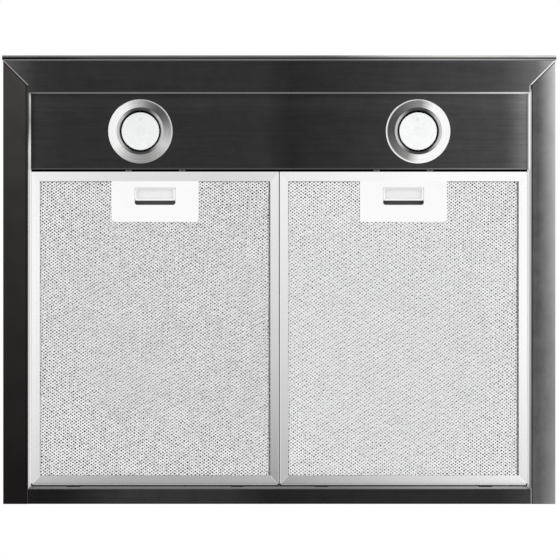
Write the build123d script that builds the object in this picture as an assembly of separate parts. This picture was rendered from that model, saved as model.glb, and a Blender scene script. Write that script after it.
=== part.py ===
from build123d import *
import math
import os

os.makedirs("parts", exist_ok=True)

# A wall-mounted chimney range hood. Millimetres, X to the right, Y to the wall, Z up.
# The origin is the middle of the footprint, at the rim's underside.

# Canopy
BODY_WIDTH = 598.0
BODY_DEPTH = 486.0
SKIRT_HEIGHT = 50.0
CANOPY_HEIGHT = 240.0
SHEET = 1.0
BEND_RADIUS = 0.8
SIDE_FLANGE = 27.0
FRONT_FLANGE = 34.0
REAR_FLANGE = 16.0
RECESS = 20.0
RETURN_HEIGHT = 40.0
TOP_FLANGE = 15.0
WALL_HOLE_RADIUS = 4.5
WALL_HOLE_SPACING_X = 200.0
WALL_HOLE_LOW = 80.0
WALL_HOLE_FROM_TOP = 50.0

# Control fascia and push buttons
FASCIA_OVERHANG = 1.0
FASCIA_DEPTH = 5.6
FASCIA_EDGE_RADIUS = 2.0
BUTTON_NAMES = ("power", "slow", "medium", "fast", "light")
BUTTON_SPACING = 30.0
BUTTON_RADIUS = 7.9
BUTTON_GAP = 0.25
BUTTON_EDGE_RADIUS = 0.6
BUTTON_COLLAR_RADIUS = 9.4
BUTTON_COLLAR_THICK = 1.2
BUTTON_COLLAR_GAP = 0.3
BUTTON_TRAVEL = 2.0
STEM_RADIUS = 3.0
STEM_GAP = 0.05
STEM_HOLE_GAP = 1.5
SWITCH_HOUSING_WIDTH = 150.0
SWITCH_HOUSING_HEIGHT = 26.0
SWITCH_HOUSING_DEPTH = 20.0
MOULDED_WALL = 1.5
GUIDE_LENGTH = 6.0

# Light panel and lamps
LIGHT_PANEL_DEPTH = 82.7
LIP_HEIGHT = 13.0
LAMP_SPACING = 304.0
LAMP_FROM_REAR = 41.7
BEZEL_RADIUS = 35.2
BEZEL_LIP_RADIUS = 25.4
BEZEL_DROP = 3.5
BEZEL_EDGE = 0.7
BEZEL_EDGE_BEVEL = 0.5
BEZEL_LIP_BEVEL = 0.8
BEZEL_STEP = 1.9
BEZEL_LEDGE = 2.0
LENS_RADIUS = 20.6
LENS_THICK = 2.2
LENS_EDGE_RADIUS = 0.6
LENS_GAP = 1.3
LAMP_NECK_RADIUS = 27.2
LAMP_NECK_GAP = 0.8
LAMP_CAN_HEIGHT = 23.5
LAMP_CAN_WALL = 1.2
CLIP_WIDTH = 10.0
CLIP_THICK = 1.2
CLIP_GAP = 0.2
CLIP_FOOT = 9.0
CLIP_FOOT_THICK = 1.0
CLIP_ROOT_HEIGHT = 6.0
CLIP_FROM_TOP = 8.0
LED_BOARD_THICK = 1.6
LED_BOARD_GAP = 1.0
DRIVER_WIDTH = 120.0
DRIVER_DEPTH = 35.0
DRIVER_HEIGHT = 20.0
DRIVER_CORNER = 2.0

# Filters
FILTER_FRONT_GAP = 2.7
FILTER_REAR_GAP = 2.0
FILTER_SIDE_GAP = 0.5
FILTER_CENTRE_GAP = 1.0
FILTER_THICK = 10.0
RAIL_SIDE = 9.3
RAIL_END = 10.4
RAIL_SHEET = 1.0
LAYER_GAP = 0.3
LAYER_PLAY = 0.05
MESH_THICK = 0.8
CORE_THICK = 0.5
CORE_SHEETS = 2
MESH_COLUMNS = 14
MESH_ROWS = 20
MESH_STRAND = 3.0
BACK_COLUMNS = 8
BACK_ROWS = 10
HOOK_SPACING = 180.0
HOOK_WIDTH = 14.0
HOOK_REACH = 7.0
HOOK_THICK = 1.0
HOOK_SLOT_GAP = 0.6
HINGE_ABOVE_FACE = 0.75
HOOK_SLOT_HALF_HEIGHT = 2.1

# Filter latch
HANDLE_WIDTH = 95.4
HANDLE_DEPTH = 44.5
HANDLE_THICK = 1.5
HANDLE_CORNER = 3.3
WINDOW_WIDTH = 44.6
WINDOW_FROM_FRONT = 7.1
WINDOW_DEPTH = 18.8
WINDOW_CORNER = 1.8
CUP_WALL = 1.5
CUP_RECESS = 5.6
CUP_ROUND = 2.0
CUP_BOTTOM_ROUND = 1.6
LATCH_TRAVEL = 4.6
LATCH_GAP = 0.3
BOLT_SPACING = 58.8
BOLT_WIDTH = 6.5
BOLT_HEIGHT = 3.0
BOLT_ABOVE_FACE = 3.0
BOLT_HOLE_GAP = 0.6
BOLT_CORNER = 1.0
POCKET_WIDTH = 76.0
HOUSING_DEPTH = 31.0
HOUSING_HEIGHT = 7.2
HOUSING_FROM_FRONT = 2.0
SPRING_RADIUS = 2.2

# Blower
BLOWER_FROM_WALL = 133.0
BLOWER_BELOW_DECK = 75.0
BLOWER_WIDTH = 180.0
BLOWER_WALL = 1.2
SCROLL_START_RADIUS = 80.0
SCROLL_LOW_RADIUS = 90.0
SCROLL_REAR_RADIUS = 95.0
OUTLET_DEPTH = 150.0
OUTLET_FLANGE = 12.0
BLOWER_SCREW_SPACING = 120.0
SIDE_PLATE = 1.0
INLET_RADIUS = 60.0
INLET_RING_WALL = 2.0
INLET_RING_LENGTH = 6.0
IMPELLER_RADIUS = 71.0
IMPELLER_INNER_RADIUS = 58.0
IMPELLER_WIDTH = 164.0
IMPELLER_RING = 2.0
IMPELLER_DISC = 3.0
BLADE_COUNT = 36
BLADE_THICK = 1.0
BLADE_SWEEP = 9.0
HUB_RADIUS = 9.0
HUB_LENGTH = 22.0
SHAFT_RADIUS = 4.0
SHAFT_GAP = 0.05
MOTOR_RADIUS = 42.0
MOTOR_FLANGE_RADIUS = 48.0
MOTOR_FLANGE_THICK = 2.0
MOTOR_CAP_RADIUS = 30.0
MOTOR_CAP_LENGTH = 16.0
MOTOR_EDGE_RADIUS = 5.0
MOTOR_CLEAR_OF_HUB = 4.0
MOTOR_GAP = 0.3
SHAFT_IN_MOTOR = 48.0
SHAFT_END_GAP = 1.0
SHAFT_PAST_HUB = 3.0
BRACKET_THICK = 1.5
BRACKET_RING_RADIUS = 70.0
BRACKET_ARM_WIDTH = 14.0
BRACKET_ARM_LAP = 4.0
CAPACITOR_RADIUS = 15.0
CAPACITOR_LENGTH = 52.0
CAPACITOR_FROM_SIDE = 28.0
CAPACITOR_FROM_WALL = 21.0
CAPACITOR_EDGE_RADIUS = 2.0

# Duct collar and backdraught damper
COLLAR_RADIUS = 75.0
COLLAR_WALL = 1.2
COLLAR_HEIGHT = 50.0
COLLAR_FLANGE_RADIUS = 86.0
COLLAR_SCREW_EDGE = 0.6
COLLAR_SCREW_TURNS = (45, 135, 225, 315)
COLLAR_FLANGE_THICK = 1.2
DAMPER_HEIGHT = 26.0
DAMPER_PIN_X = 3.4
DAMPER_PIN_RADIUS = 1.5
DAMPER_PIN_GAP = 0.06
DAMPER_BARREL_RADIUS = 3.0
DAMPER_THICK = 1.0
DAMPER_EDGE_GAP = 2.0
DAMPER_END_GAP = 0.5
DAMPER_LEDGE_GAP = 0.3
PIN_IN_WALL_GAP = 1.0
LEDGE_WIDTH = 3.8
LEDGE_THICK = 1.2
BOSS_DEPTH = 4.8
BOSS_HALF_WIDTH = 7.5
BOSS_HEIGHT = 8.0

# Control box, between the chimney's front and the collar
BOX_WIDTH = 160.0
BOX_HEIGHT = 50.0
BOX_BEHIND_CHIMNEY = 2.0
BOX_COLLAR_GAP = 2.0
BOX_CORNER = 3.0
COVER_THICK = 1.5
BOARD_WIDTH = 110.0
BOARD_THICK = 1.6
BOARD_FROM_LEFT = 8.0
BOARD_WALL_GAP = 1.5
BOARD_POST_RADIUS = 3.0
BOARD_POST_HEIGHT = 5.0
BOARD_POST_FROM_END = 6.0
TRANSFORMER_WIDTH = 30.0
TRANSFORMER_HEIGHT = 24.0
TRANSFORMER_FROM_LEFT = 20.0
TERMINAL_WIDTH = 30.0
TERMINAL_HEIGHT = 12.0
TERMINAL_FROM_RIGHT = 12.0
PART_FROM_BOARD_EDGE = 3.0
GLAND_RADIUS = 9.0
GLAND_LENGTH = 18.0
GLAND_NECK_RADIUS = 6.0
GLAND_BORE_RADIUS = 4.0
GLAND_NUT_THICK = 4.0
GLAND_CHAMFER = 3.0
GLAND_FROM_END = 18.0

# Chimney
CHIMNEY_WIDTH = 260.0
CHIMNEY_DEPTH = 240.0
CHIMNEY_RETURN = 21.0
LOWER_CHIMNEY_LENGTH = 400.0
UPPER_CHIMNEY_LENGTH = 400.0
CHIMNEY_OVERLAP = 240.0
CHIMNEY_GAP = 0.5
UPPER_RETURN = 29.0
VENT_COUNT = 5
VENT_LENGTH = 90.0
VENT_WIDTH = 6.0
VENT_PITCH = 14.0
VENT_FROM_TOP = 34.0
CHIMNEY_BRACKET_WIDTH = 214.0
CHIMNEY_BRACKET_HEIGHT = 32.0
CHIMNEY_BRACKET_FROM_TOP = 20.0
BRACKET_HOLE_SPACING = 160.0
TAB_WIDTH = 20.0
TAB_HEIGHT = 16.0

# Pan-head screws, all alike
SCREW_RADIUS = 2.0
SCREW_HOLE_GAP = 0.15
SCREW_LENGTH = 8.0
SCREW_HEAD_RADIUS = 3.8
SCREW_HEAD_HEIGHT = 2.2
SCREW_HEAD_ROUND = 1.1

# Places that follow from these sizes
FRONT = -BODY_DEPTH / 2
WALL = BODY_DEPTH / 2
SIDE = BODY_WIDTH / 2
SKIN_FRONT = FRONT + FASCIA_DEPTH
OPEN_FRONT = SKIN_FRONT + FRONT_FLANGE
OPEN_REAR = WALL - REAR_FLANGE
OPEN_SIDE = SIDE - SIDE_FLANGE
CHIMNEY_SIDE = CHIMNEY_WIDTH / 2
CHIMNEY_FRONT = WALL - CHIMNEY_DEPTH
DECK_TOP = CANOPY_HEIGHT + SHEET
LIGHT_REAR = OPEN_FRONT + LIGHT_PANEL_DEPTH
LAMP_Y = LIGHT_REAR - LAMP_FROM_REAR
LIGHT_TOP = RECESS + SHEET
FILTER_FRONT = LIGHT_REAR + FILTER_FRONT_GAP
FILTER_REAR = OPEN_REAR - FILTER_REAR_GAP
FILTER_WIDTH = OPEN_SIDE - FILTER_SIDE_GAP - FILTER_CENTRE_GAP / 2
FILTER_TOP = RECESS + FILTER_THICK
LAYER_LOW = RECESS + RAIL_SHEET
LAYER_HIGH = FILTER_TOP - RAIL_SHEET
HINGE_Z = RECESS + HINGE_ABOVE_FACE
HANDLE_FRONT = FILTER_FRONT + RAIL_END
HOUSING_FRONT = HANDLE_FRONT + HOUSING_FROM_FRONT
HOUSING_REAR = HOUSING_FRONT + HOUSING_DEPTH
BOLT_Z = RECESS + BOLT_ABOVE_FACE + BOLT_HEIGHT / 2
CUP_FRONT = HANDLE_FRONT + WINDOW_FROM_FRONT + LATCH_GAP
CUP_REAR = HANDLE_FRONT + WINDOW_FROM_FRONT + WINDOW_DEPTH - LATCH_TRAVEL - LATCH_GAP
BLOWER_Y = WALL - BLOWER_FROM_WALL
BLOWER_Z = CANOPY_HEIGHT - BLOWER_BELOW_DECK
COLLAR_Y = BLOWER_Y - SCROLL_START_RADIUS + SCROLL_LOW_RADIUS + SCROLL_REAR_RADIUS - OUTLET_DEPTH / 2
SCREW_HOLE_RADIUS = SCREW_RADIUS + SCREW_HOLE_GAP
DAMPER_Z = DECK_TOP + DAMPER_HEIGHT
BOX_FRONT = CHIMNEY_FRONT + SHEET + BOX_BEHIND_CHIMNEY
BOX_REAR = COLLAR_Y - COLLAR_FLANGE_RADIUS - BOX_COLLAR_GAP
BOX_TOP = DECK_TOP + BOX_HEIGHT
BOX_MIDDLE = (BOX_FRONT + BOX_REAR) / 2
GLAND_X = BOX_WIDTH / 2 - GLAND_FROM_END
WALL_HOLE_HIGH = CANOPY_HEIGHT - WALL_HOLE_FROM_TOP


def block(x0, x1, y0, y1, z0, z1):
    """A box between two corners."""
    middle = Pos((x0 + x1) / 2, (y0 + y1) / 2, (z0 + z1) / 2)
    return middle * Box(x1 - x0, y1 - y0, z1 - z0)


def flat(points):
    """A flat face with straight sides."""
    return make_face(Polyline(*points, close=True))


def upright(points, z0, z1):
    """A prism along Z over points (x, y)."""
    return extrude(Plane.XY.offset(z0) * flat(points), amount=z1 - z0)


def lengthwise(face, x0, x1):
    """A prism along X of a face drawn in (y, z)."""
    return extrude(Plane.YZ.offset(x0) * face, amount=x1 - x0)


def crosswise(face, y0, y1):
    """A prism along Y of a face drawn in (x, z)."""
    return extrude(Plane.XZ.offset(-y1) * face, amount=y1 - y0)


def rod(radius, start, length, direction):
    """A round bar from a point, along a direction."""
    plane = Plane(origin=start, z_dir=direction)
    return extrude(plane * Circle(radius), amount=length)


def tube(radius, bore, start, length, direction):
    """A round bar with a bore."""
    return rod(radius, start, length, direction) - rod(bore, start, length, direction)


def inner_line(path, thick):
    """The other face of a folded sheet whose first face follows the path; a plus lies to the left."""
    corners = []
    for i, point in enumerate(path):
        sides = []
        for a, b in ((i - 1, i), (i, i + 1)):
            if a >= 0 and b < len(path):
                run = math.dist(path[a], path[b])
                across = ((path[a][1] - path[b][1]) / run, (path[b][0] - path[a][0]) / run)
                sides.append(across)
        u, v = sides[0], sides[-1]
        share = thick / (1 + u[0] * v[0] + u[1] * v[1])
        corners.append((point[0] + share * (u[0] + v[0]), point[1] + share * (u[1] + v[1])))
    return corners


def folded(path, thick, bends=()):
    """The cross-section of a folded sheet, with its outer corners at the bends rounded."""
    face = flat(list(path) + inner_line(path, thick)[::-1])
    for bend in bends:
        corner = face.vertices().sort_by_distance((bend[0], bend[1], 0))[0]
        face = fillet(corner, BEND_RADIUS)
    return face


def mirrored(shape):
    """The same shape on the other side of X = 0."""
    return mirror(shape, about=Plane.YZ)


def save(name, shape):
    """Writes one sub-part."""
    solids = list(shape) if isinstance(shape, (list, tuple)) else shape.solids()
    export_step(solids[0] if len(solids) == 1 else Compound(children=solids), f"parts/{name}.step")


def screw(x, y, z, direction):
    """A pan-head screw whose head sits on the point, with its shank against the direction."""
    head = rod(SCREW_HEAD_RADIUS, (x, y, z), SCREW_HEAD_HEIGHT, direction)
    rim = head.edges().filter_by(GeomType.CIRCLE).sort_by(Axis((x, y, z), direction))[-1]
    head = fillet(rim, SCREW_HEAD_ROUND)
    back = tuple(-c for c in direction)
    return head + rod(SCREW_RADIUS, (x, y, z), SCREW_LENGTH, back)


def screw_holes(places, z):
    """Upright clearance holes for screws at (x, y), both ways from a height."""
    return [rod(SCREW_HOLE_RADIUS, (x, y, z - SCREW_LENGTH), 2 * SCREW_LENGTH, (0, 0, 1)) for x, y in places]


# Screw places in the top deck
RIM_SCREWS = [(s * (CHIMNEY_SIDE - TOP_FLANGE / 2), y) for s in (-1, 1) for y in (
    CHIMNEY_FRONT + 2 * TOP_FLANGE, WALL - 2 * TOP_FLANGE)]
RIM_SCREWS += [(s * (BOX_WIDTH / 2 + TOP_FLANGE), CHIMNEY_FRONT + TOP_FLANGE / 2) for s in (-1, 1)]
BLOWER_SCREWS = [(s * (BLOWER_WIDTH / 2 + OUTLET_FLANGE / 2), COLLAR_Y + t * BLOWER_SCREW_SPACING / 2)
                 for s in (-1, 1) for t in (-1, 1)]
COLLAR_SCREW_CIRCLE = COLLAR_FLANGE_RADIUS - SCREW_HEAD_RADIUS - COLLAR_SCREW_EDGE
COLLAR_SCREWS = [(COLLAR_SCREW_CIRCLE * math.cos(math.radians(a)),
                  COLLAR_Y + COLLAR_SCREW_CIRCLE * math.sin(math.radians(a))) for a in COLLAR_SCREW_TURNS]
TAB_SCREW_Z = DECK_TOP + TAB_HEIGHT / 2
TAB_PLACES = (CHIMNEY_FRONT + CHIMNEY_DEPTH / 6, WALL - CHIMNEY_DEPTH / 6)


def side_path():
    """Outline of a side panel in (x, z), from its return wall round to its top flange."""
    return [(OPEN_SIDE, RETURN_HEIGHT), (OPEN_SIDE, 0), (SIDE, 0), (SIDE, SKIRT_HEIGHT),
            (CHIMNEY_SIDE, CANOPY_HEIGHT), (CHIMNEY_SIDE - TOP_FLANGE, CANOPY_HEIGHT)]


def front_path():
    """Outline of the front panel in (y, z)."""
    return [(OPEN_FRONT, RECESS), (OPEN_FRONT, 0), (SKIN_FRONT, 0), (SKIN_FRONT, SKIRT_HEIGHT),
            (CHIMNEY_FRONT, CANOPY_HEIGHT), (CHIMNEY_FRONT + TOP_FLANGE, CANOPY_HEIGHT)]


def front_panel():
    """Front skirt and slope, with its underside flange and return wall, mitred into the sides."""
    bends = [(OPEN_FRONT, 0), (SKIN_FRONT, 0), (SKIN_FRONT, SKIRT_HEIGHT)]
    sheet = lengthwise(folded(front_path(), -SHEET, bends), -SIDE, SIDE)
    mitre = SKIN_FRONT + SIDE_FLANGE
    low = [(SIDE, SKIN_FRONT), (OPEN_SIDE, mitre), (OPEN_SIDE, OPEN_FRONT)]
    high = [(SIDE, SKIN_FRONT), (CHIMNEY_SIDE, CHIMNEY_FRONT),
            (CHIMNEY_SIDE - TOP_FLANGE, CHIMNEY_FRONT + TOP_FLANGE)]
    region = upright(low + [(-x, y) for x, y in low[::-1]], 0, SKIRT_HEIGHT)
    region += upright(high + [(-x, y) for x, y in high[::-1]], SKIRT_HEIGHT, CANOPY_HEIGHT)
    panel = sheet & region
    for i in range(len(BUTTON_NAMES)):
        x = button_x(i)
        panel -= rod(STEM_RADIUS + STEM_HOLE_GAP, (x, SKIN_FRONT, SKIRT_HEIGHT / 2), SHEET, (0, 1, 0))
    return panel - screw_holes(RIM_SCREWS, CANOPY_HEIGHT)


def right_panel():
    """Right skirt and slope, with its underside flange and return wall."""
    bends = [(OPEN_SIDE, 0), (SIDE, 0), (SIDE, SKIRT_HEIGHT)]
    sheet = crosswise(folded(side_path(), SHEET, bends), SKIN_FRONT, WALL)
    low = [(SIDE, SKIN_FRONT), (SIDE, WALL), (OPEN_SIDE, WALL), (OPEN_SIDE, SKIN_FRONT + SIDE_FLANGE)]
    top = CHIMNEY_SIDE - TOP_FLANGE
    high = [(SIDE, SKIN_FRONT), (SIDE, WALL), (top, WALL), (top, CHIMNEY_FRONT + TOP_FLANGE),
            (CHIMNEY_SIDE, CHIMNEY_FRONT)]
    region = upright(low, 0, SKIRT_HEIGHT) + upright(high, SKIRT_HEIGHT, CANOPY_HEIGHT)
    panel = sheet & region
    panel -= block(OPEN_SIDE, OPEN_SIDE + SHEET, WALL - SHEET, WALL, SHEET, RETURN_HEIGHT)
    return panel - screw_holes(RIM_SCREWS, CANOPY_HEIGHT)


def rear_panel():
    """Flat back against the wall, with the rear flange, its return wall and the filter hooks' slots."""
    low = [(OPEN_REAR, RETURN_HEIGHT), (OPEN_REAR, 0), (WALL, 0), (WALL, SKIRT_HEIGHT)]
    panel = lengthwise(folded(low, SHEET, [(OPEN_REAR, 0), (WALL, 0)]), -OPEN_SIDE, OPEN_SIDE)
    inside = inner_line(side_path(), SHEET)
    half = [(inside[2][0], SHEET), inside[3], inside[4]]
    back = flat(half + [(-x, z) for x, z in half[::-1]])
    panel += crosswise(back, WALL - SHEET, WALL)
    top = CHIMNEY_SIDE - TOP_FLANGE
    panel += block(-top, top, WALL - TOP_FLANGE, WALL, CANOPY_HEIGHT - SHEET, CANOPY_HEIGHT)
    for x in (-WALL_HOLE_SPACING_X / 2, WALL_HOLE_SPACING_X / 2):
        for z in (WALL_HOLE_LOW, WALL_HOLE_HIGH):
            panel -= rod(WALL_HOLE_RADIUS, (x, WALL - SHEET, z), SHEET, (0, 1, 0))
    half_slot = HOOK_WIDTH / 2 + HOOK_SLOT_GAP
    for x in hook_places():
        panel -= block(x - half_slot, x + half_slot, OPEN_REAR, OPEN_REAR + SHEET,
                       HINGE_Z - HOOK_SLOT_HALF_HEIGHT, HINGE_Z + HOOK_SLOT_HALF_HEIGHT)
    return panel


def top_deck():
    """Plate that closes the canopy, carries the blower and the collar, and holds the chimney by tabs."""
    deck = block(-CHIMNEY_SIDE, CHIMNEY_SIDE, CHIMNEY_FRONT, WALL, CANOPY_HEIGHT, DECK_TOP)
    deck -= rod(COLLAR_RADIUS - COLLAR_WALL, (0, COLLAR_Y, CANOPY_HEIGHT), SHEET, (0, 0, 1))
    inside = CHIMNEY_SIDE - SHEET
    for s in (-1, 1):
        for y in TAB_PLACES:
            edges = sorted((s * inside, s * (inside - SHEET)))
            tab = block(*edges, y - TAB_WIDTH / 2, y + TAB_WIDTH / 2, DECK_TOP, DECK_TOP + TAB_HEIGHT)
            deck += tab - rod(SCREW_HOLE_RADIUS, (edges[0], y, TAB_SCREW_Z), SHEET, (1, 0, 0))
    return deck - screw_holes(RIM_SCREWS + BLOWER_SCREWS + COLLAR_SCREWS, DECK_TOP)


def button_x(i):
    """Place of a button along the fascia."""
    return (i - (len(BUTTON_NAMES) - 1) / 2) * BUTTON_SPACING


def front_fascia():
    """Shallow folded tray over the front skirt, with the button holes."""
    half = SIDE + FASCIA_OVERHANG
    tray = block(-half, half, FRONT, SKIN_FRONT, 0, SKIRT_HEIGHT)
    edges = tray.edges().filter_by(Axis.X).group_by(Axis.Y)[0]
    tray = fillet(edges, FASCIA_EDGE_RADIUS)
    tray -= block(-half + SHEET, half - SHEET, FRONT + SHEET, SKIN_FRONT, SHEET, SKIRT_HEIGHT - SHEET)
    for i in range(len(BUTTON_NAMES)):
        start = (button_x(i), FRONT, SKIRT_HEIGHT / 2)
        tray -= rod(BUTTON_RADIUS + BUTTON_GAP, start, SHEET, (0, 1, 0))
    return tray


def button(i):
    """A push button: cap, retaining collar and guide stem."""
    x, z = button_x(i), SKIRT_HEIGHT / 2
    collar_front = FRONT + SHEET + BUTTON_COLLAR_GAP
    rear = collar_front + BUTTON_COLLAR_THICK
    cap = rod(BUTTON_RADIUS, (x, FRONT, z), rear - FRONT, (0, 1, 0))
    cap = fillet(cap.edges().filter_by(GeomType.CIRCLE).sort_by(Axis.Y)[0], BUTTON_EDGE_RADIUS)
    cap += rod(BUTTON_COLLAR_RADIUS, (x, collar_front, z), BUTTON_COLLAR_THICK, (0, 1, 0))
    guide_end = SKIN_FRONT + SHEET + MOULDED_WALL + GUIDE_LENGTH
    return cap + rod(STEM_RADIUS, (x, rear, z), guide_end - BUTTON_TRAVEL - rear, (0, 1, 0))


def switch_housing():
    """Moulded box behind the front skirt, with a guide for each button's stem."""
    front = SKIN_FRONT + SHEET
    rear = front + SWITCH_HOUSING_DEPTH
    half = SWITCH_HOUSING_WIDTH / 2
    low = SKIRT_HEIGHT / 2 - SWITCH_HOUSING_HEIGHT / 2
    high = low + SWITCH_HOUSING_HEIGHT
    wall = MOULDED_WALL
    housing = block(-half, half, front, rear, low, high)
    housing -= block(-half + wall, half - wall, front + wall, rear - wall, low + wall, high - wall)
    for i in range(len(BUTTON_NAMES)):
        start = (button_x(i), front, SKIRT_HEIGHT / 2)
        housing += rod(STEM_RADIUS + wall, start, GUIDE_LENGTH + wall, (0, 1, 0))
        housing -= rod(STEM_RADIUS + STEM_GAP, start, GUIDE_LENGTH + wall, (0, 1, 0))
    return housing


def light_panel():
    """Recessed panel with two lamp holes, upturned ends and a rear lip with the latch holes."""
    front = OPEN_FRONT - SHEET
    panel = block(-OPEN_SIDE, OPEN_SIDE, front, LIGHT_REAR, RECESS, LIGHT_TOP)
    high = RECESS + LIP_HEIGHT
    panel += block(-OPEN_SIDE, OPEN_SIDE, LIGHT_REAR - SHEET, LIGHT_REAR, RECESS, high)
    for s in (-1, 1):
        edges = sorted((s * OPEN_SIDE, s * (OPEN_SIDE - SHEET)))
        panel += block(*edges, OPEN_FRONT, LIGHT_REAR, RECESS, high)
        hole = LAMP_NECK_RADIUS + LAMP_NECK_GAP
        panel -= rod(hole, (s * LAMP_SPACING / 2, LAMP_Y, RECESS), SHEET, (0, 0, 1))
        for t in (-1, 1):
            x = s * filter_middle() + t * BOLT_SPACING / 2
            half = BOLT_WIDTH / 2 + BOLT_HOLE_GAP
            tall = BOLT_HEIGHT / 2 + BOLT_HOLE_GAP
            panel -= block(x - half, x + half, LIGHT_REAR - SHEET, LIGHT_REAR, BOLT_Z - tall, BOLT_Z + tall)
    return panel


def turned(points, x, y):
    """A ring or disc turned about an upright axis, from its outline in (radius, height)."""
    face = Plane.XZ * flat(points)
    return Pos(x, y, 0) * revolve(face, Axis.Z)


def lamp_bezel(x):
    """Conical trim ring with a raised lip and a neck through the panel."""
    low = RECESS - BEZEL_DROP
    edge = RECESS - BEZEL_EDGE
    seat = RECESS + SHEET
    bore = LENS_RADIUS + LENS_GAP
    hole = LENS_RADIUS - BEZEL_LEDGE
    outline = [(BEZEL_RADIUS, RECESS), (BEZEL_RADIUS, edge),
               (BEZEL_RADIUS - BEZEL_EDGE_BEVEL, edge - BEZEL_EDGE_BEVEL),
               (BEZEL_LIP_RADIUS + BEZEL_LIP_BEVEL, low), (BEZEL_LIP_RADIUS, low), (bore, low + BEZEL_STEP),
               (bore, seat), (hole, seat), (hole, seat + MOULDED_WALL),
               (LAMP_NECK_RADIUS, seat + MOULDED_WALL), (LAMP_NECK_RADIUS, RECESS)]
    return turned(outline, x, LAMP_Y)


def lamp_lens(x):
    """Frosted disc held behind the trim ring."""
    seat = RECESS + SHEET
    lens = rod(LENS_RADIUS, (x, LAMP_Y, seat - LENS_THICK), LENS_THICK, (0, 0, 1))
    return fillet(lens.edges().sort_by(Axis.Z)[0], LENS_EDGE_RADIUS)


def lamp_can(x):
    """Deep cup over the lamp, with two spring clips that press on the panel."""
    low = RECESS + SHEET + MOULDED_WALL
    high = low + LAMP_CAN_HEIGHT
    can = rod(LAMP_NECK_RADIUS, (x, LAMP_Y, low), LAMP_CAN_HEIGHT, (0, 0, 1))
    can -= rod(LAMP_NECK_RADIUS - LAMP_CAN_WALL, (x, LAMP_Y, low), LAMP_CAN_HEIGHT - LAMP_CAN_WALL, (0, 0, 1))
    inner = LAMP_NECK_RADIUS + LAMP_NECK_GAP + CLIP_GAP
    clip_top = high - CLIP_FROM_TOP
    for s in (-1, 1):
        root = sorted((s * (LAMP_NECK_RADIUS - LAMP_CAN_WALL / 2), s * (inner + CLIP_THICK)))
        leg = sorted((s * inner, s * (inner + CLIP_THICK)))
        foot = sorted((s * inner, s * (inner + CLIP_FOOT)))
        for (a, b), z0, z1 in ((root, clip_top - CLIP_ROOT_HEIGHT, clip_top), (leg, LIGHT_TOP, clip_top),
                               (foot, LIGHT_TOP, LIGHT_TOP + CLIP_FOOT_THICK)):
            can += block(x + a, x + b, LAMP_Y - CLIP_WIDTH / 2, LAMP_Y + CLIP_WIDTH / 2, z0, z1)
    return can


def led_board(x):
    """Round board under the can's top."""
    top = RECESS + SHEET + MOULDED_WALL + LAMP_CAN_HEIGHT - LAMP_CAN_WALL
    start = (x, LAMP_Y, top - LED_BOARD_THICK)
    return rod(LAMP_NECK_RADIUS - LAMP_CAN_WALL - LED_BOARD_GAP, start, LED_BOARD_THICK, (0, 0, 1))


def led_driver():
    """Supply for the lamps, on the light panel."""
    half, front = DRIVER_WIDTH / 2, LAMP_Y - DRIVER_DEPTH / 2
    case = block(-half, half, front, front + DRIVER_DEPTH, LIGHT_TOP, LIGHT_TOP + DRIVER_HEIGHT)
    return fillet(case.edges().filter_by(Axis.Z), DRIVER_CORNER)


def filter_middle():
    """Distance of each filter's middle from X = 0."""
    return (FILTER_CENTRE_GAP + FILTER_WIDTH) / 2


def hook_places():
    """X of the four rear hooks."""
    return [s * filter_middle() + t * HOOK_SPACING / 2 for s in (-1, 1) for t in (-1, 1)]


def filter_frame(x):
    """Four channel rails, mitred at the corners, with bolt slots in the front one."""
    x0, x1 = x - FILTER_WIDTH / 2, x + FILTER_WIDTH / 2
    y0, y1 = FILTER_FRONT, FILTER_REAR
    t = RAIL_SHEET
    half = BOLT_WIDTH / 2 + BOLT_HOLE_GAP
    tall = BOLT_HEIGHT / 2 + BOLT_HOLE_GAP
    cuts = [block(x0 + t, x1 - t, y0 + t, y1 - t, LAYER_LOW, LAYER_HIGH)]
    for s in (-1, 1):
        bx = x + s * BOLT_SPACING / 2
        cuts.append(block(bx - half, bx + half, y0, y0 + t, BOLT_Z - tall, BOLT_Z + tall))
    inside = [(x0 + RAIL_SIDE, y0 + RAIL_END), (x1 - RAIL_SIDE, y0 + RAIL_END),
              (x1 - RAIL_SIDE, y1 - RAIL_END), (x0 + RAIL_SIDE, y1 - RAIL_END)]
    corners = [(x0, y0), (x1, y0), (x1, y1), (x0, y1)]
    rails = []
    for i in range(4):
        j = (i + 1) % 4
        rail = upright([corners[i], corners[j], inside[j], inside[i]], RECESS, FILTER_TOP)
        rails += (rail - cuts).solids()
    return rails


def layer(x, z0, z1):
    """A flat layer that fills the rails' channels, with the latch's pocket left out."""
    edge = RAIL_SHEET + LAYER_GAP
    half = FILTER_WIDTH / 2 - edge
    sheet = block(x - half, x + half, FILTER_FRONT + edge, FILTER_REAR - edge, z0, z1)
    pocket = block(x - POCKET_WIDTH / 2, x + POCKET_WIDTH / 2, FILTER_FRONT, HOUSING_REAR + LAYER_GAP, z0, z1)
    return sheet - pocket


def net(x, z0, z1, columns, rows, strand):
    """A layer of expanded metal: one sheet with staggered rows of diamond gaps."""
    wide = (FILTER_WIDTH - 2 * RAIL_SIDE) / columns
    deep = (FILTER_REAR - FILTER_FRONT - 2 * RAIL_END) / rows
    half_wide = wide / 2 - strand / 2
    half_deep = deep - strand / 2
    clear = POCKET_WIDTH / 2 + half_wide + strand
    gaps = []
    for row in range(1, rows):
        y = FILTER_FRONT + RAIL_END + row * deep
        shift = wide / 2 if row % 2 else wide
        for column in range(columns if row % 2 else columns - 1):
            gx = x - FILTER_WIDTH / 2 + RAIL_SIDE + shift + column * wide
            if abs(gx - x) < clear and y - half_deep < HOUSING_REAR + strand:
                continue
            gaps.append(upright([(gx - half_wide, y), (gx, y - half_deep), (gx + half_wide, y),
                                 (gx, y + half_deep)], z0, z1))
    return layer(x, z0, z1) - gaps


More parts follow.
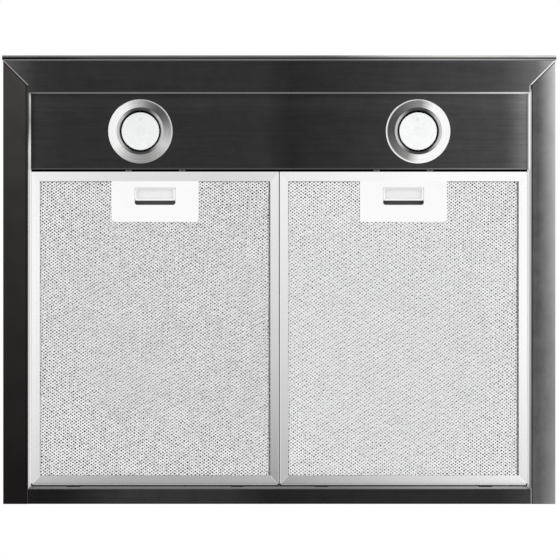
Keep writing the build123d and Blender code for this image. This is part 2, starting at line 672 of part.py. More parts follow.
def filter_core(x):
    """Two plain layers between the outer mesh and the back mesh."""
    room = (LAYER_HIGH - LAYER_LOW) / (CORE_SHEETS + 1)
    middles = [LAYER_LOW + (i + 1) * room for i in range(CORE_SHEETS)]
    return [layer(x, z - CORE_THICK / 2, z + CORE_THICK / 2).solid() for z in middles]


def filter_hooks(x):
    """Two angled hooks on the rear rail that hang in the rear wall's slots."""
    hooks = []
    for s in (-1, 1):
        hx = x + s * HOOK_SPACING / 2
        x0, x1 = hx - HOOK_WIDTH / 2, hx + HOOK_WIDTH / 2
        low = HINGE_Z - HOOK_THICK / 2
        hook = block(x0, x1, FILTER_REAR, FILTER_REAR + HOOK_THICK, low, LAYER_HIGH)
        hook += block(x0, x1, FILTER_REAR, FILTER_REAR + HOOK_REACH, low, low + HOOK_THICK)
        hooks.append(hook.solid())
    return hooks


def window(x, z0, z1):
    """The opening in the handle plate, with its rear corners cut."""
    half, front = WINDOW_WIDTH / 2, HANDLE_FRONT + WINDOW_FROM_FRONT
    rear, cut = front + WINDOW_DEPTH, WINDOW_CORNER
    return upright([(x - half, front), (x + half, front), (x + half, rear - cut), (x + half - cut, rear),
                    (x - half + cut, rear), (x - half, rear - cut)], z0, z1)


def filter_handle(x):
    """White plate under the mesh, with rounded rear corners and a window for the finger cup."""
    low = LAYER_LOW - HANDLE_THICK
    half, rear = HANDLE_WIDTH / 2, HANDLE_FRONT + HANDLE_DEPTH
    plate = block(x - half, x + half, HANDLE_FRONT, rear, low, LAYER_LOW)
    plate = fillet(plate.edges().filter_by(Axis.Z).group_by(Axis.Y)[-1], HANDLE_CORNER)
    return plate - window(x, low, LAYER_LOW)


def latch_housing(x):
    """Closed case over the plate, in which the latch slides."""
    wall = MOULDED_WALL
    half = POCKET_WIDTH / 2 - LAYER_GAP
    high = LAYER_LOW + HOUSING_HEIGHT
    case = block(x - half, x + half, HOUSING_FRONT, HOUSING_REAR, LAYER_LOW, high)
    case -= block(x - half + wall, x + half - wall, HOUSING_FRONT + wall, HOUSING_REAR - wall,
                  LAYER_LOW, high - wall)
    side = BOLT_WIDTH / 2 + BOLT_HOLE_GAP
    tall = BOLT_HEIGHT / 2 + BOLT_HOLE_GAP
    for s in (-1, 1):
        bx = x + s * BOLT_SPACING / 2
        case -= block(bx - side, bx + side, HOUSING_FRONT, HOUSING_FRONT + wall, BOLT_Z - tall, BOLT_Z + tall)
    return case


def filter_latch(x):
    """Sliding latch: a finger cup in the window and two bolts towards the light panel."""
    half = POCKET_WIDTH / 2 - LAYER_GAP - MOULDED_WALL - LATCH_GAP
    front = HOUSING_FRONT + MOULDED_WALL + LATCH_GAP
    high = LAYER_LOW + HOUSING_HEIGHT - MOULDED_WALL - LATCH_GAP
    low = LAYER_LOW + LATCH_GAP
    face = LAYER_LOW - HANDLE_THICK + LATCH_GAP
    side = WINDOW_WIDTH / 2 - LATCH_GAP
    slider = block(x - half, x + half, front, CUP_REAR, low, high)
    rim = block(x - side, x + side, CUP_FRONT, CUP_REAR, face, high)
    slider += chamfer(rim.edges().filter_by(Axis.Z).group_by(Axis.Y)[-1], WINDOW_CORNER)
    cup = block(x - side + CUP_WALL, x + side - CUP_WALL, CUP_FRONT + CUP_WALL, CUP_REAR - CUP_WALL,
                face - CUP_ROUND, face + CUP_RECESS)
    cup = fillet(cup.edges().filter_by(Axis.Z), CUP_ROUND)
    slider -= fillet(cup.edges().group_by(Axis.Z)[-1], CUP_BOTTOM_ROUND)
    for s in (-1, 1):
        bx = x + s * BOLT_SPACING / 2
        bolt = block(bx - BOLT_WIDTH / 2, bx + BOLT_WIDTH / 2, LIGHT_REAR + LATCH_GAP, front,
                     BOLT_Z - BOLT_HEIGHT / 2, BOLT_Z + BOLT_HEIGHT / 2)
        slider += fillet(bolt.edges().filter_by(Axis.Z).group_by(Axis.Y)[0], BOLT_CORNER)
    return slider


def latch_springs(x):
    """The two springs behind the latch, each the outer shape of its coil."""
    start, end = CUP_REAR + LATCH_GAP, HOUSING_REAR - MOULDED_WALL
    return [rod(SPRING_RADIUS, (x + s * BOLT_SPACING / 2, start, BOLT_Z), end - start, (0, 1, 0)).solid()
            for s in (-1, 1)]


def scroll_face(shrink):
    """The space inside the scroll, in (y, z): three growing arcs and a straight outlet."""
    ra, rb, rc = (r - shrink for r in (SCROLL_START_RADIUS, SCROLL_LOW_RADIUS, SCROLL_REAR_RADIUS))
    cy, cz = BLOWER_Y, BLOWER_Z
    by = cy - SCROLL_START_RADIUS + SCROLL_LOW_RADIUS
    dz = cz - SCROLL_LOW_RADIUS + SCROLL_REAR_RADIUS
    rear = by + SCROLL_REAR_RADIUS - shrink
    front = by + SCROLL_REAR_RADIUS - OUTLET_DEPTH + shrink
    tongue = math.degrees(math.acos((front - cy) / ra))
    tip = (front, cz + ra * math.sin(math.radians(tongue)))
    top = CANOPY_HEIGHT
    edges = [CenterArc((cy, cz), ra, tongue, 180 - tongue),
             CenterArc((by, cz), rb, 180, 90),
             CenterArc((by, dz), rc, 270, 90),
             Line((rear, dz), (rear, top)),
             Line((rear, top), (front, top)),
             Line((front, top), tip)]
    return make_face(Wire(edges))


def blower_scroll():
    """Wrapped wall of the scroll, with the outlet flange that hangs from the deck."""
    half = BLOWER_WIDTH / 2
    wall = lengthwise(scroll_face(0), -half, half)
    reach = half + OUTLET_FLANGE
    depth = OUTLET_DEPTH / 2 + OUTLET_FLANGE
    low = CANOPY_HEIGHT - BLOWER_WALL
    wall += block(-reach, reach, COLLAR_Y - depth, COLLAR_Y + depth, low, CANOPY_HEIGHT)
    wall -= lengthwise(scroll_face(BLOWER_WALL), -half, half)
    return wall - screw_holes(BLOWER_SCREWS, CANOPY_HEIGHT)


def blower_side(side):
    """Side plate of the scroll, with its inlet ring."""
    half = BLOWER_WIDTH / 2
    edges = sorted((side * half, side * (half + SIDE_PLATE)))
    plate = lengthwise(scroll_face(0), *edges)
    plate &= block(*edges, FRONT, WALL, 0, CANOPY_HEIGHT - BLOWER_WALL)
    ring = sorted((side * (half - INLET_RING_LENGTH), side * (half + SIDE_PLATE)))
    plate += rod(INLET_RADIUS + INLET_RING_WALL, (ring[0], BLOWER_Y, BLOWER_Z), ring[1] - ring[0], (1, 0, 0))
    return plate - rod(INLET_RADIUS, (ring[0], BLOWER_Y, BLOWER_Z), ring[1] - ring[0], (1, 0, 0))


MOTOR_FACE = -(HUB_LENGTH / 2 + MOTOR_CLEAR_OF_HUB)
BRACKET_FACE = -(BLOWER_WIDTH / 2 + SIDE_PLATE)


def motor_bracket():
    """Flat spider on the left side plate that carries the motor in the inlet."""
    start = (BRACKET_FACE - BRACKET_THICK, BLOWER_Y, BLOWER_Z)
    ring = tube(BRACKET_RING_RADIUS, INLET_RADIUS, start, BRACKET_THICK, (1, 0, 0))
    spider = ring + rod(MOTOR_FLANGE_RADIUS, start, BRACKET_THICK, (1, 0, 0))
    for angle in (90, 210, 330):
        arm = block(start[0], BRACKET_FACE, -BRACKET_ARM_WIDTH / 2, BRACKET_ARM_WIDTH / 2,
                    MOTOR_FLANGE_RADIUS - BRACKET_ARM_LAP, INLET_RADIUS + BRACKET_ARM_LAP)
        spider += Pos(0, BLOWER_Y, BLOWER_Z) * Rot(angle - 90, 0, 0) * arm
    return spider - rod(MOTOR_RADIUS + MOTOR_GAP, start, BRACKET_THICK, (1, 0, 0))


def motor():
    """Motor body, flange and rear cap, with the bore that the shaft runs in."""
    back = BRACKET_FACE - BRACKET_THICK
    flange = back - MOTOR_FLANGE_THICK
    body = rod(MOTOR_RADIUS, (flange, BLOWER_Y, BLOWER_Z), MOTOR_FACE - flange, (1, 0, 0))
    body = fillet(body.edges().filter_by(GeomType.CIRCLE).sort_by(Axis.X)[-1], MOTOR_EDGE_RADIUS)
    body += rod(MOTOR_FLANGE_RADIUS, (flange, BLOWER_Y, BLOWER_Z), MOTOR_FLANGE_THICK, (1, 0, 0))
    cap = rod(MOTOR_CAP_RADIUS, (flange - MOTOR_CAP_LENGTH, BLOWER_Y, BLOWER_Z), MOTOR_CAP_LENGTH, (1, 0, 0))
    body += fillet(cap.edges().filter_by(GeomType.CIRCLE).sort_by(Axis.X)[0], MOTOR_EDGE_RADIUS)
    start = MOTOR_FACE - SHAFT_IN_MOTOR - SHAFT_END_GAP
    return body - rod(SHAFT_RADIUS + SHAFT_GAP, (start, BLOWER_Y, BLOWER_Z), MOTOR_FACE - start, (1, 0, 0))


def motor_shaft():
    """Shaft from the motor through the impeller's hub."""
    start = MOTOR_FACE - SHAFT_IN_MOTOR
    length = HUB_LENGTH / 2 + SHAFT_PAST_HUB - start
    return rod(SHAFT_RADIUS, (start, BLOWER_Y, BLOWER_Z), length, (1, 0, 0))


def impeller_disc():
    """Middle disc of the impeller, with its hub."""
    disc = rod(IMPELLER_RADIUS, (-IMPELLER_DISC / 2, BLOWER_Y, BLOWER_Z), IMPELLER_DISC, (1, 0, 0))
    start = (-HUB_LENGTH / 2, BLOWER_Y, BLOWER_Z)
    return disc + rod(HUB_RADIUS, start, HUB_LENGTH, (1, 0, 0)) - rod(
        SHAFT_RADIUS + SHAFT_GAP, start, HUB_LENGTH, (1, 0, 0))


def impeller_ring(side):
    """End ring of the impeller."""
    half = IMPELLER_WIDTH / 2
    start = (min(side * half, side * (half - IMPELLER_RING)), BLOWER_Y, BLOWER_Z)
    return tube(IMPELLER_RADIUS, IMPELLER_INNER_RADIUS, start, IMPELLER_RING, (1, 0, 0))


def impeller_blades():
    """Strips from the disc to each end ring, swept forward like a drum fan's."""
    inner, outer = IMPELLER_INNER_RADIUS, IMPELLER_RADIUS
    lead = BLADE_THICK / inner
    ends = sorted((IMPELLER_DISC / 2, IMPELLER_WIDTH / 2 - IMPELLER_RING))
    blades = []
    for i in range(BLADE_COUNT):
        start = 2 * math.pi * i / BLADE_COUNT
        end = start + math.radians(BLADE_SWEEP)
        points = [(inner, start), (outer, end), (outer, end + lead), (inner, start + lead)]
        face = flat([(BLOWER_Y + r * math.cos(a), BLOWER_Z + r * math.sin(a)) for r, a in points])
        blades.append(lengthwise(face, ends[0], ends[1]).solid())
        blades.append(lengthwise(face, -ends[1], -ends[0]).solid())
    return blades


def capacitor():
    """Run capacitor that stands on the deck."""
    start = (CHIMNEY_SIDE - CAPACITOR_FROM_SIDE, WALL - CAPACITOR_FROM_WALL, DECK_TOP)
    can = rod(CAPACITOR_RADIUS, start, CAPACITOR_LENGTH, (0, 0, 1))
    return fillet(can.edges().sort_by(Axis.Z)[-1], CAPACITOR_EDGE_RADIUS)


def duct_collar():
    """Round spigot for the duct, with the damper's ledge and pin bosses."""
    base = (0, COLLAR_Y, DECK_TOP)
    inner = COLLAR_RADIUS - COLLAR_WALL
    collar = rod(COLLAR_RADIUS, base, COLLAR_HEIGHT, (0, 0, 1))
    collar += rod(COLLAR_FLANGE_RADIUS, base, COLLAR_FLANGE_THICK, (0, 0, 1))
    collar -= rod(inner, base, COLLAR_HEIGHT, (0, 0, 1))
    ledge = DAMPER_Z - DAMPER_THICK / 2 - DAMPER_LEDGE_GAP - LEDGE_THICK
    collar += tube(inner + COLLAR_WALL / 2, inner - LEDGE_WIDTH, (0, COLLAR_Y, ledge), LEDGE_THICK, (0, 0, 1))
    low = DAMPER_Z - BOSS_HEIGHT / 2
    bosses = block(-BOSS_HALF_WIDTH, BOSS_HALF_WIDTH, -inner, inner, low, low + BOSS_HEIGHT)
    bosses &= rod(inner + COLLAR_WALL / 2, (0, 0, low), BOSS_HEIGHT, (0, 0, 1))
    gap = inner - BOSS_DEPTH
    bosses -= block(-BOSS_HALF_WIDTH, BOSS_HALF_WIDTH, -gap, gap, low, low + BOSS_HEIGHT)
    collar += Pos(0, COLLAR_Y, 0) * bosses
    for s in (-1, 1):
        start = (s * DAMPER_PIN_X, COLLAR_Y - pin_half(), DAMPER_Z)
        collar -= rod(DAMPER_PIN_RADIUS + DAMPER_PIN_GAP, start, 2 * pin_half(), (0, 1, 0))
    return collar - screw_holes(COLLAR_SCREWS, DECK_TOP)


def pin_half():
    """Half the length of a damper pin."""
    return COLLAR_RADIUS - COLLAR_WALL - PIN_IN_WALL_GAP


def damper_pins():
    """The two pins that the flaps turn on."""
    return [rod(DAMPER_PIN_RADIUS, (s * DAMPER_PIN_X, COLLAR_Y - pin_half(), DAMPER_Z),
                2 * pin_half(), (0, 1, 0)).solid() for s in (-1, 1)]


def damper_flap():
    """Right half-round flap with its hinge barrel; it rests on the ledge."""
    inner = COLLAR_RADIUS - COLLAR_WALL
    low = DAMPER_Z - DAMPER_THICK / 2
    disc = rod(inner - DAMPER_EDGE_GAP, (0, 0, low), DAMPER_THICK, (0, 0, 1))
    gap = inner - BOSS_DEPTH - DAMPER_END_GAP
    flap = disc & block(DAMPER_PIN_X, inner, -inner, inner, low, low + DAMPER_THICK)
    swing = math.hypot(BOSS_HALF_WIDTH - DAMPER_PIN_X, BOSS_HEIGHT / 2) + DAMPER_END_GAP
    for s in (-1, 1):
        edges = sorted((s * gap, s * inner))
        flap -= block(0, DAMPER_PIN_X + swing, *edges, low, low + DAMPER_THICK)
    flap += rod(DAMPER_BARREL_RADIUS, (DAMPER_PIN_X, -gap, DAMPER_Z), 2 * gap, (0, 1, 0))
    flap -= rod(DAMPER_PIN_RADIUS + DAMPER_PIN_GAP, (DAMPER_PIN_X, -gap, DAMPER_Z), 2 * gap, (0, 1, 0))
    return Pos(0, COLLAR_Y, 0) * flap


def control_box():
    """Moulded box on the deck for the speed board, open at the top."""
    half, wall = BOX_WIDTH / 2, MOULDED_WALL
    box = block(-half, half, BOX_FRONT, BOX_REAR, DECK_TOP, BOX_TOP)
    box = fillet(box.edges().filter_by(Axis.Z), BOX_CORNER)
    box -= block(-half + wall, half - wall, BOX_FRONT + wall, BOX_REAR - wall, DECK_TOP + wall, BOX_TOP)
    x0, x1, y0, y1 = board_edges()
    for x in (x0 + BOARD_POST_FROM_END, x1 - BOARD_POST_FROM_END):
        for y in (y0 + BOARD_POST_RADIUS, y1 - BOARD_POST_RADIUS):
            box += rod(BOARD_POST_RADIUS, (x, y, DECK_TOP + wall), BOARD_POST_HEIGHT, (0, 0, 1))
    return box


def board_edges():
    """Left, right, front and rear edge of the speed board."""
    left = -BOX_WIDTH / 2 + BOARD_FROM_LEFT
    edge = MOULDED_WALL + BOARD_WALL_GAP
    return left, left + BOARD_WIDTH, BOX_FRONT + edge, BOX_REAR - edge


def control_board():
    """Speed board with its transformer and terminal block."""
    low = DECK_TOP + MOULDED_WALL + BOARD_POST_HEIGHT
    top = low + BOARD_THICK
    x0, x1, y0, y1 = board_edges()
    board = block(x0, x1, y0, y1, low, top)
    front, rear = y0 + PART_FROM_BOARD_EDGE, y1 - PART_FROM_BOARD_EDGE
    left, right = x0 + TRANSFORMER_FROM_LEFT, x1 - TERMINAL_FROM_RIGHT
    board += block(left, left + TRANSFORMER_WIDTH, front, rear, top, top + TRANSFORMER_HEIGHT)
    return board + block(right - TERMINAL_WIDTH, right, front, rear, top, top + TERMINAL_HEIGHT)


def control_cover():
    """Lid of the control box, with the hole for the gland."""
    half = BOX_WIDTH / 2
    lid = block(-half, half, BOX_FRONT, BOX_REAR, BOX_TOP, BOX_TOP + COVER_THICK)
    lid = fillet(lid.edges().filter_by(Axis.Z), BOX_CORNER)
    return lid - rod(GLAND_NECK_RADIUS + SHAFT_GAP, (GLAND_X, BOX_MIDDLE, BOX_TOP), COVER_THICK, (0, 0, 1))


def cable_gland():
    """Gland on the lid for the mains lead, which leaves upwards inside the chimney."""
    outside = BOX_TOP + COVER_THICK
    low = BOX_TOP - GLAND_NUT_THICK
    gland = rod(GLAND_RADIUS, (GLAND_X, BOX_MIDDLE, outside), GLAND_LENGTH, (0, 0, 1))
    gland = chamfer(gland.edges().filter_by(GeomType.CIRCLE).sort_by(Axis.Z)[-1], GLAND_CHAMFER)
    gland += rod(GLAND_NECK_RADIUS, (GLAND_X, BOX_MIDDLE, BOX_TOP), COVER_THICK, (0, 0, 1))
    nut = Plane(origin=(GLAND_X, BOX_MIDDLE, low))
    gland += extrude(nut * RegularPolygon(GLAND_RADIUS, 6), amount=GLAND_NUT_THICK)
    bore = GLAND_NUT_THICK + COVER_THICK + GLAND_LENGTH
    return gland - rod(GLAND_BORE_RADIUS, (GLAND_X, BOX_MIDDLE, low), bore, (0, 0, 1))


def chimney_section(side, front, rear, fold, z0, z1):
    """A U-shaped duct cover, open to the wall, with folded rear edges."""
    half = [(side - fold, rear), (side, rear), (side, front)]
    path = half + [(-x, y) for x, y in half[::-1]]
    face = folded(path, -SHEET, [(side, front), (-side, front)])
    return extrude(Plane.XY.offset(z0) * face, amount=z1 - z0)


LOWER_TOP = DECK_TOP + LOWER_CHIMNEY_LENGTH
UPPER_LOW = LOWER_TOP - CHIMNEY_OVERLAP
UPPER_TOP = UPPER_LOW + UPPER_CHIMNEY_LENGTH
UPPER_SIDE = CHIMNEY_SIDE - SHEET - CHIMNEY_GAP
UPPER_REAR = WALL - SHEET - CHIMNEY_GAP


def lower_chimney():
    """Lower duct cover, which stands on the deck round its tabs."""
    cover = chimney_section(CHIMNEY_SIDE, CHIMNEY_FRONT, WALL, CHIMNEY_RETURN, DECK_TOP, LOWER_TOP)
    for y in TAB_PLACES:
        cover -= rod(SCREW_HOLE_RADIUS, (-CHIMNEY_SIDE, y, TAB_SCREW_Z), CHIMNEY_WIDTH, (1, 0, 0))
    return cover


def upper_chimney():
    """Upper duct cover, which slides inside the lower one and has air slots near its top."""
    front = CHIMNEY_FRONT + SHEET + CHIMNEY_GAP
    cover = chimney_section(UPPER_SIDE, front, UPPER_REAR, UPPER_RETURN, UPPER_LOW, UPPER_TOP)
    middle = (front + UPPER_REAR) / 2
    slot = Plane.YZ.offset(-UPPER_SIDE) * SlotOverall(VENT_LENGTH, VENT_WIDTH)
    for i in range(VENT_COUNT):
        z = UPPER_TOP - VENT_FROM_TOP - i * VENT_PITCH
        cover -= Pos(0, middle, z) * extrude(slot, amount=2 * UPPER_SIDE)
    return cover


def chimney_bracket():
    """Wall strip that holds the upper cover's rear edges."""
    half = CHIMNEY_BRACKET_WIDTH / 2
    high = UPPER_TOP - CHIMNEY_BRACKET_FROM_TOP
    strip = block(-half, half, UPPER_REAR, WALL, high - CHIMNEY_BRACKET_HEIGHT, high)
    for s in (-1, 1):
        start = (s * BRACKET_HOLE_SPACING / 2, UPPER_REAR, high - CHIMNEY_BRACKET_HEIGHT / 2)
        strip -= rod(WALL_HOLE_RADIUS, start, WALL - UPPER_REAR, (0, 1, 0))
    return strip


def fixing_screws():
    """Every pan-head screw: deck rim, blower flange, collar flange and chimney tabs."""
    screws = [screw(x, y, DECK_TOP, (0, 0, 1)) for x, y in RIM_SCREWS + BLOWER_SCREWS]
    screws += [screw(x, y, DECK_TOP + COLLAR_FLANGE_THICK, (0, 0, 1)) for x, y in COLLAR_SCREWS]
    screws += [screw(s * CHIMNEY_SIDE, y, TAB_SCREW_Z, (s, 0, 0)) for s in (-1, 1) for y in TAB_PLACES]
    return [s.solid() for s in screws]


right = right_panel()
save("front_panel", front_panel())
save("right_panel", right)
save("left_panel", mirrored(right))
save("rear_panel", rear_panel())
save("top_deck", top_deck())
save("front_fascia", front_fascia())
save("switch_housing", switch_housing())
for number, name in enumerate(BUTTON_NAMES):
    save(f"button_{name}", button(number))

save("light_panel", light_panel())
save("led_driver", led_driver())
save("led_boards", [led_board(s * LAMP_SPACING / 2).solid() for s in (-1, 1)])

for word, sign in (("left", -1), ("right", 1)):
    lamp_x = sign * LAMP_SPACING / 2
    save(f"lamp_bezel_{word}", lamp_bezel(lamp_x))
    save(f"lamp_lens_{word}", lamp_lens(lamp_x))
    save(f"lamp_can_{word}", lamp_can(lamp_x))
    filter_x = sign * filter_middle()
    save(f"filter_frame_{word}", filter_frame(filter_x))
    low, high = LAYER_LOW + LAYER_PLAY, LAYER_HIGH - LAYER_PLAY
    save(f"filter_mesh_{word}", net(filter_x, low, low + MESH_THICK, MESH_COLUMNS, MESH_ROWS, MESH_STRAND))
    save(f"filter_back_{word}", net(filter_x, high - MESH_THICK, high, BACK_COLUMNS, BACK_ROWS, MESH_STRAND))
    save(f"filter_core_{word}", filter_core(filter_x))
    save(f"filter_hooks_{word}", filter_hooks(filter_x))
    save(f"filter_handle_{word}", filter_handle(filter_x))
    save(f"latch_housing_{word}", latch_housing(filter_x))
    save(f"filter_latch_{word}", filter_latch(filter_x))
    save(f"latch_springs_{word}", latch_springs(filter_x))
    save(f"blower_side_{word}", blower_side(sign))

save("blower_scroll", blower_scroll())
save("motor_bracket", motor_bracket())
save("motor", motor())
save("motor_shaft", motor_shaft())
save("impeller", [impeller_disc().solid()] + [impeller_ring(s).solid() for s in (-1, 1)])
save("impeller_blades", impeller_blades())
save("capacitor", capacitor())

flap = damper_flap()
save("duct_collar", duct_collar())
save("damper_pins", damper_pins())
save("damper_flap_right", flap)
save("damper_flap_left", mirrored(flap))

save("control_box", control_box())
save("control_board", control_board())
save("control_cover", control_cover())
save("cable_gland", cable_gland())

save("lower_chimney", lower_chimney())
save("upper_chimney", upper_chimney())
save("chimney_bracket", chimney_bracket())
save("fixing_screws", fixing_screws())
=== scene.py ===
"""Chimney range hood seen from below: black brushed stainless steel, two aluminium filters, two lamps."""
import math
import random

import bpy
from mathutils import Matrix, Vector


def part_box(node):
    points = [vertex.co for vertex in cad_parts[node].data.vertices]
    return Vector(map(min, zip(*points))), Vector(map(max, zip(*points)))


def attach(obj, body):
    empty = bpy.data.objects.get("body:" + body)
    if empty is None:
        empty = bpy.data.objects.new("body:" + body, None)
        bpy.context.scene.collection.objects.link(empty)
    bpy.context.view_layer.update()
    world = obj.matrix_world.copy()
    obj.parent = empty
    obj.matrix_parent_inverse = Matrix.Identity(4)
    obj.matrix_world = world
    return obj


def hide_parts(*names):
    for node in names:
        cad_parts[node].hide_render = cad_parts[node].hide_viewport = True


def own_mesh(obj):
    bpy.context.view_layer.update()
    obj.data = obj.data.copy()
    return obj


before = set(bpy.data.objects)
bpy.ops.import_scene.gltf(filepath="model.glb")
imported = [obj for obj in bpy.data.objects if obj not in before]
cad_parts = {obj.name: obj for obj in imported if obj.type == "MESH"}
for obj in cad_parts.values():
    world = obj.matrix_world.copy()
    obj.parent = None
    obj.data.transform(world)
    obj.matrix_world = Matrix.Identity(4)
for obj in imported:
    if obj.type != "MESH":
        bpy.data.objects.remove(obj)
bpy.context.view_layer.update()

MM = 0.001
random.seed(5)

# Camera and floor, in metres, with the lens and its sensor in millimetres
CAMERA_LENS = 100.68
CAMERA_SENSOR = 36
CAMERA_REACH = 50
CAMERA_PLACE = (0.0008, 0.0005, -1.695)
FLOOR_HALF = 40.0
FLOOR_LOW = -3.2

# Sizes that the paint and the pieces share, in millimetres
SIDE = 299.0
OPEN_SIDE = 272.0
SKIN_FRONT = -237.4
OPEN_FRONT = -203.4
OPEN_REAR = 227.0
RECESS = 20.0
FILTER_MIDDLE = 136.0
FILTER_HALF = 135.5
FILTER_FRONT = -118.0
FILTER_REAR = 225.0
FILTER_CENTRE = (FILTER_FRONT + FILTER_REAR) / 2
FILTER_LONG_HALF = (FILTER_REAR - FILTER_FRONT) / 2
RAIL_SIDE = 9.3
RAIL_END = 10.4
LIGHT_REAR = -120.7
FOLD_FRONT = -240.6
FOLD_REAR = -238.35
CHIMNEY_SIDE = 130.0
CHIMNEY_FRONT = 3.0
LAMP_X = 152.0
LAMP_Y = -162.4
TRIM_INNER = 22.3
TRIM_STEP = 25.7
TRIM_RIM = 33.4
BOLT_SPACING = 58.8
POCKET_HALF = 38.0
POCKET_REAR = -74.3
CUP_FRONT = -101.0
CUP_WALL = 2.6

# Expanded metal, in millimetres: the pitch of its holes, its faces, and the ends of a hole
MESH_LONG = 4.57
MESH_SHORT = 3.3
MESH_LOW = 21.1
MESH_RISE = 0.08
MESH_WALL = 0.2
MESH_UNDER_RAIL = 2.0
MESH_TIP = 0.2
BACK_LOW = 28.5

# How far a hole strays, in millimetres and as a share of its size
MESH_JITTER = 0.18

# A hole as a share of its pitch, how much the columns differ, and the back mesh against the front one
MESH_HOLE = {"left": 0.585, "right": 0.54}
MESH_ODD = 0.07
BACK_SIZE = 1.8

# How far each sheet is turned, in degrees
MESH_TURN = {"left": 2.2, "right": 0.9}

# Coil springs, in millimetres. The latch moves 4.6, and they shorten by a little more.
COIL_RADIUS = 2.2
COIL_WIRE = 0.3

# Turns of a coil, steps in a turn, and sides of the wire
COIL_TURNS = 7
COIL_STEPS = 16
COIL_SIDES = 6

# Grain of the moulded plastic: its depth in millimetres, and how strongly it shows
PLASTIC_GRAIN = 0.02
BUMP_STRENGTH = 0.3


class Nodes:
    """A tree of shader nodes, emptied first, and the sums that it is made of."""

    def __init__(self, tree):
        self.tree = tree
        tree.nodes.clear()

    def put(self, socket, value):
        if isinstance(value, bpy.types.NodeSocket):
            self.tree.links.new(value, socket)
        else:
            socket.default_value = value

    def vector(self, operation, first, second=(0, 0, 0), scale=1.0):
        node = self.tree.nodes.new("ShaderNodeVectorMath")
        node.operation = operation
        self.put(node.inputs[0], first)
        self.put(node.inputs[1], second)
        if operation == "SCALE":
            self.put(node.inputs["Scale"], scale)
        return node.outputs["Vector"]

    def split(self, vector):
        """The three numbers of a vector."""
        node = self.tree.nodes.new("ShaderNodeSeparateXYZ")
        self.tree.links.new(vector, node.inputs[0])
        return node.outputs

    def combine(self, *numbers):
        """A vector from three numbers."""
        node = self.tree.nodes.new("ShaderNodeCombineXYZ")
        for socket, value in zip(node.inputs, numbers):
            self.put(socket, value)
        return node.outputs[0]

    def math(self, operation, *values):
        node = self.tree.nodes.new("ShaderNodeMath")
        node.operation = operation
        for socket, value in zip(node.inputs, values):
            self.put(socket, value)
        return node.outputs[0]

    def add(self, *values):
        total = values[0]
        for value in values[1:]:
            total = self.math("ADD", total, value)
        return total

    def times(self, *values):
        total = values[0]
        for value in values[1:]:
            total = self.math("MULTIPLY", total, value)
        return total

    def rest(self, value):
        """What a mask leaves out."""
        return self.math("SUBTRACT", 1.0, value)

    def ramp(self, value, low, high):
        """0 at low, 1 at high, straight between them."""
        node = self.tree.nodes.new("ShaderNodeMapRange")
        self.put(node.inputs["Value"], value)
        node.inputs["From Min"].default_value = low
        node.inputs["From Max"].default_value = high
        return node.outputs["Result"]

    def band(self, value, low, high, soft=0.3):
        """1 between low and high, 0 outside."""
        return self.times(self.ramp(value, low - soft, low), self.ramp(value, high + soft, high))

    def line(self, value, *points):
        """Straight lines from point to point, level beyond the ends."""
        total = points[0][1]
        for (start, from_level), (end, to_level) in zip(points, points[1:]):
            total = self.add(total, self.times(self.ramp(value, start, end), to_level - from_level))
        return total


class Paint(Nodes):
    """A material. Its places are read in millimetres from the object's own coordinates."""

    def __init__(self, name):
        self.material = bpy.data.materials.new(name)
        self.material.use_nodes = True
        super().__init__(self.material.node_tree)
        output = self.tree.nodes.new("ShaderNodeOutputMaterial")
        self.shader = self.tree.nodes.new("ShaderNodeBsdfPrincipled")
        self.tree.links.new(self.shader.outputs[0], output.inputs[0])
        where = self.tree.nodes.new("ShaderNodeTexCoord").outputs["Object"]
        self.place = self.vector("SCALE", where, scale=1 / MM)
        self.x, self.y, self.z = self.split(self.place)

    def noise(self, scale, detail=3.0, rough=0.55, seed=0.0):
        """Noise from 0 to 1, stretched by a scale for each axis, in cycles per metre."""
        shifted = self.vector("ADD", self.place, (seed * 37.1, seed * 91.7, seed * 13.3))
        stretched = self.vector("MULTIPLY", shifted, tuple(s * MM for s in scale))
        node = self.tree.nodes.new("ShaderNodeTexNoise")
        node.inputs["Scale"].default_value = 1.0
        node.inputs["Detail"].default_value = detail
        node.inputs["Roughness"].default_value = rough
        self.tree.links.new(stretched, node.inputs["Vector"])
        return node.outputs[0]

    def colour(self, factor, first, second):
        node = self.tree.nodes.new("ShaderNodeMix")
        node.data_type = "RGBA"
        self.put(node.inputs[0], factor)
        for socket, value in ((node.inputs[6], first), (node.inputs[7], second)):
            self.put(socket, value if isinstance(value, bpy.types.NodeSocket) else (*value, 1))
        return node.outputs[2]

    def scaled(self, colour, factor):
        """A colour multiplied by a number."""
        return self.vector("SCALE", colour, scale=factor)

    def grey(self, level):
        """A neutral colour from a number."""
        return self.scaled((1.0, 1.0, 1.0), level)

    def bump(self, height, distance):
        node = self.tree.nodes.new("ShaderNodeBump")
        node.inputs["Strength"].default_value = BUMP_STRENGTH
        node.inputs["Distance"].default_value = distance
        self.tree.links.new(height, node.inputs["Height"])
        self.tree.links.new(node.outputs[0], self.shader.inputs["Normal"])

    def lean(self, mask, aim):
        """Turns the surface towards aim where the mask is 1, as a rolled edge does."""
        plain = self.tree.nodes.new("ShaderNodeNewGeometry").outputs["Normal"]
        keep = self.vector("SCALE", plain, scale=self.rest(mask))
        turned = self.vector("NORMALIZE", self.vector("ADD", keep, self.vector("SCALE", aim, scale=mask)))
        self.tree.links.new(turned, self.shader.inputs["Normal"])

    def direction(self, along):
        """The brushing lies along a constant direction or a linked one."""
        if not isinstance(along, bpy.types.NodeSocket):
            along = self.combine(*along)
        self.tree.links.new(along, self.shader.inputs["Tangent"])

    def set(self, **values):
        for name, value in values.items():
            socket = self.shader.inputs[name.replace("_", " ").title().replace("Ior", "IOR")]
            if not isinstance(value, bpy.types.NodeSocket) and socket.type == "RGBA":
                value = (*value, 1)
            self.put(socket, value)


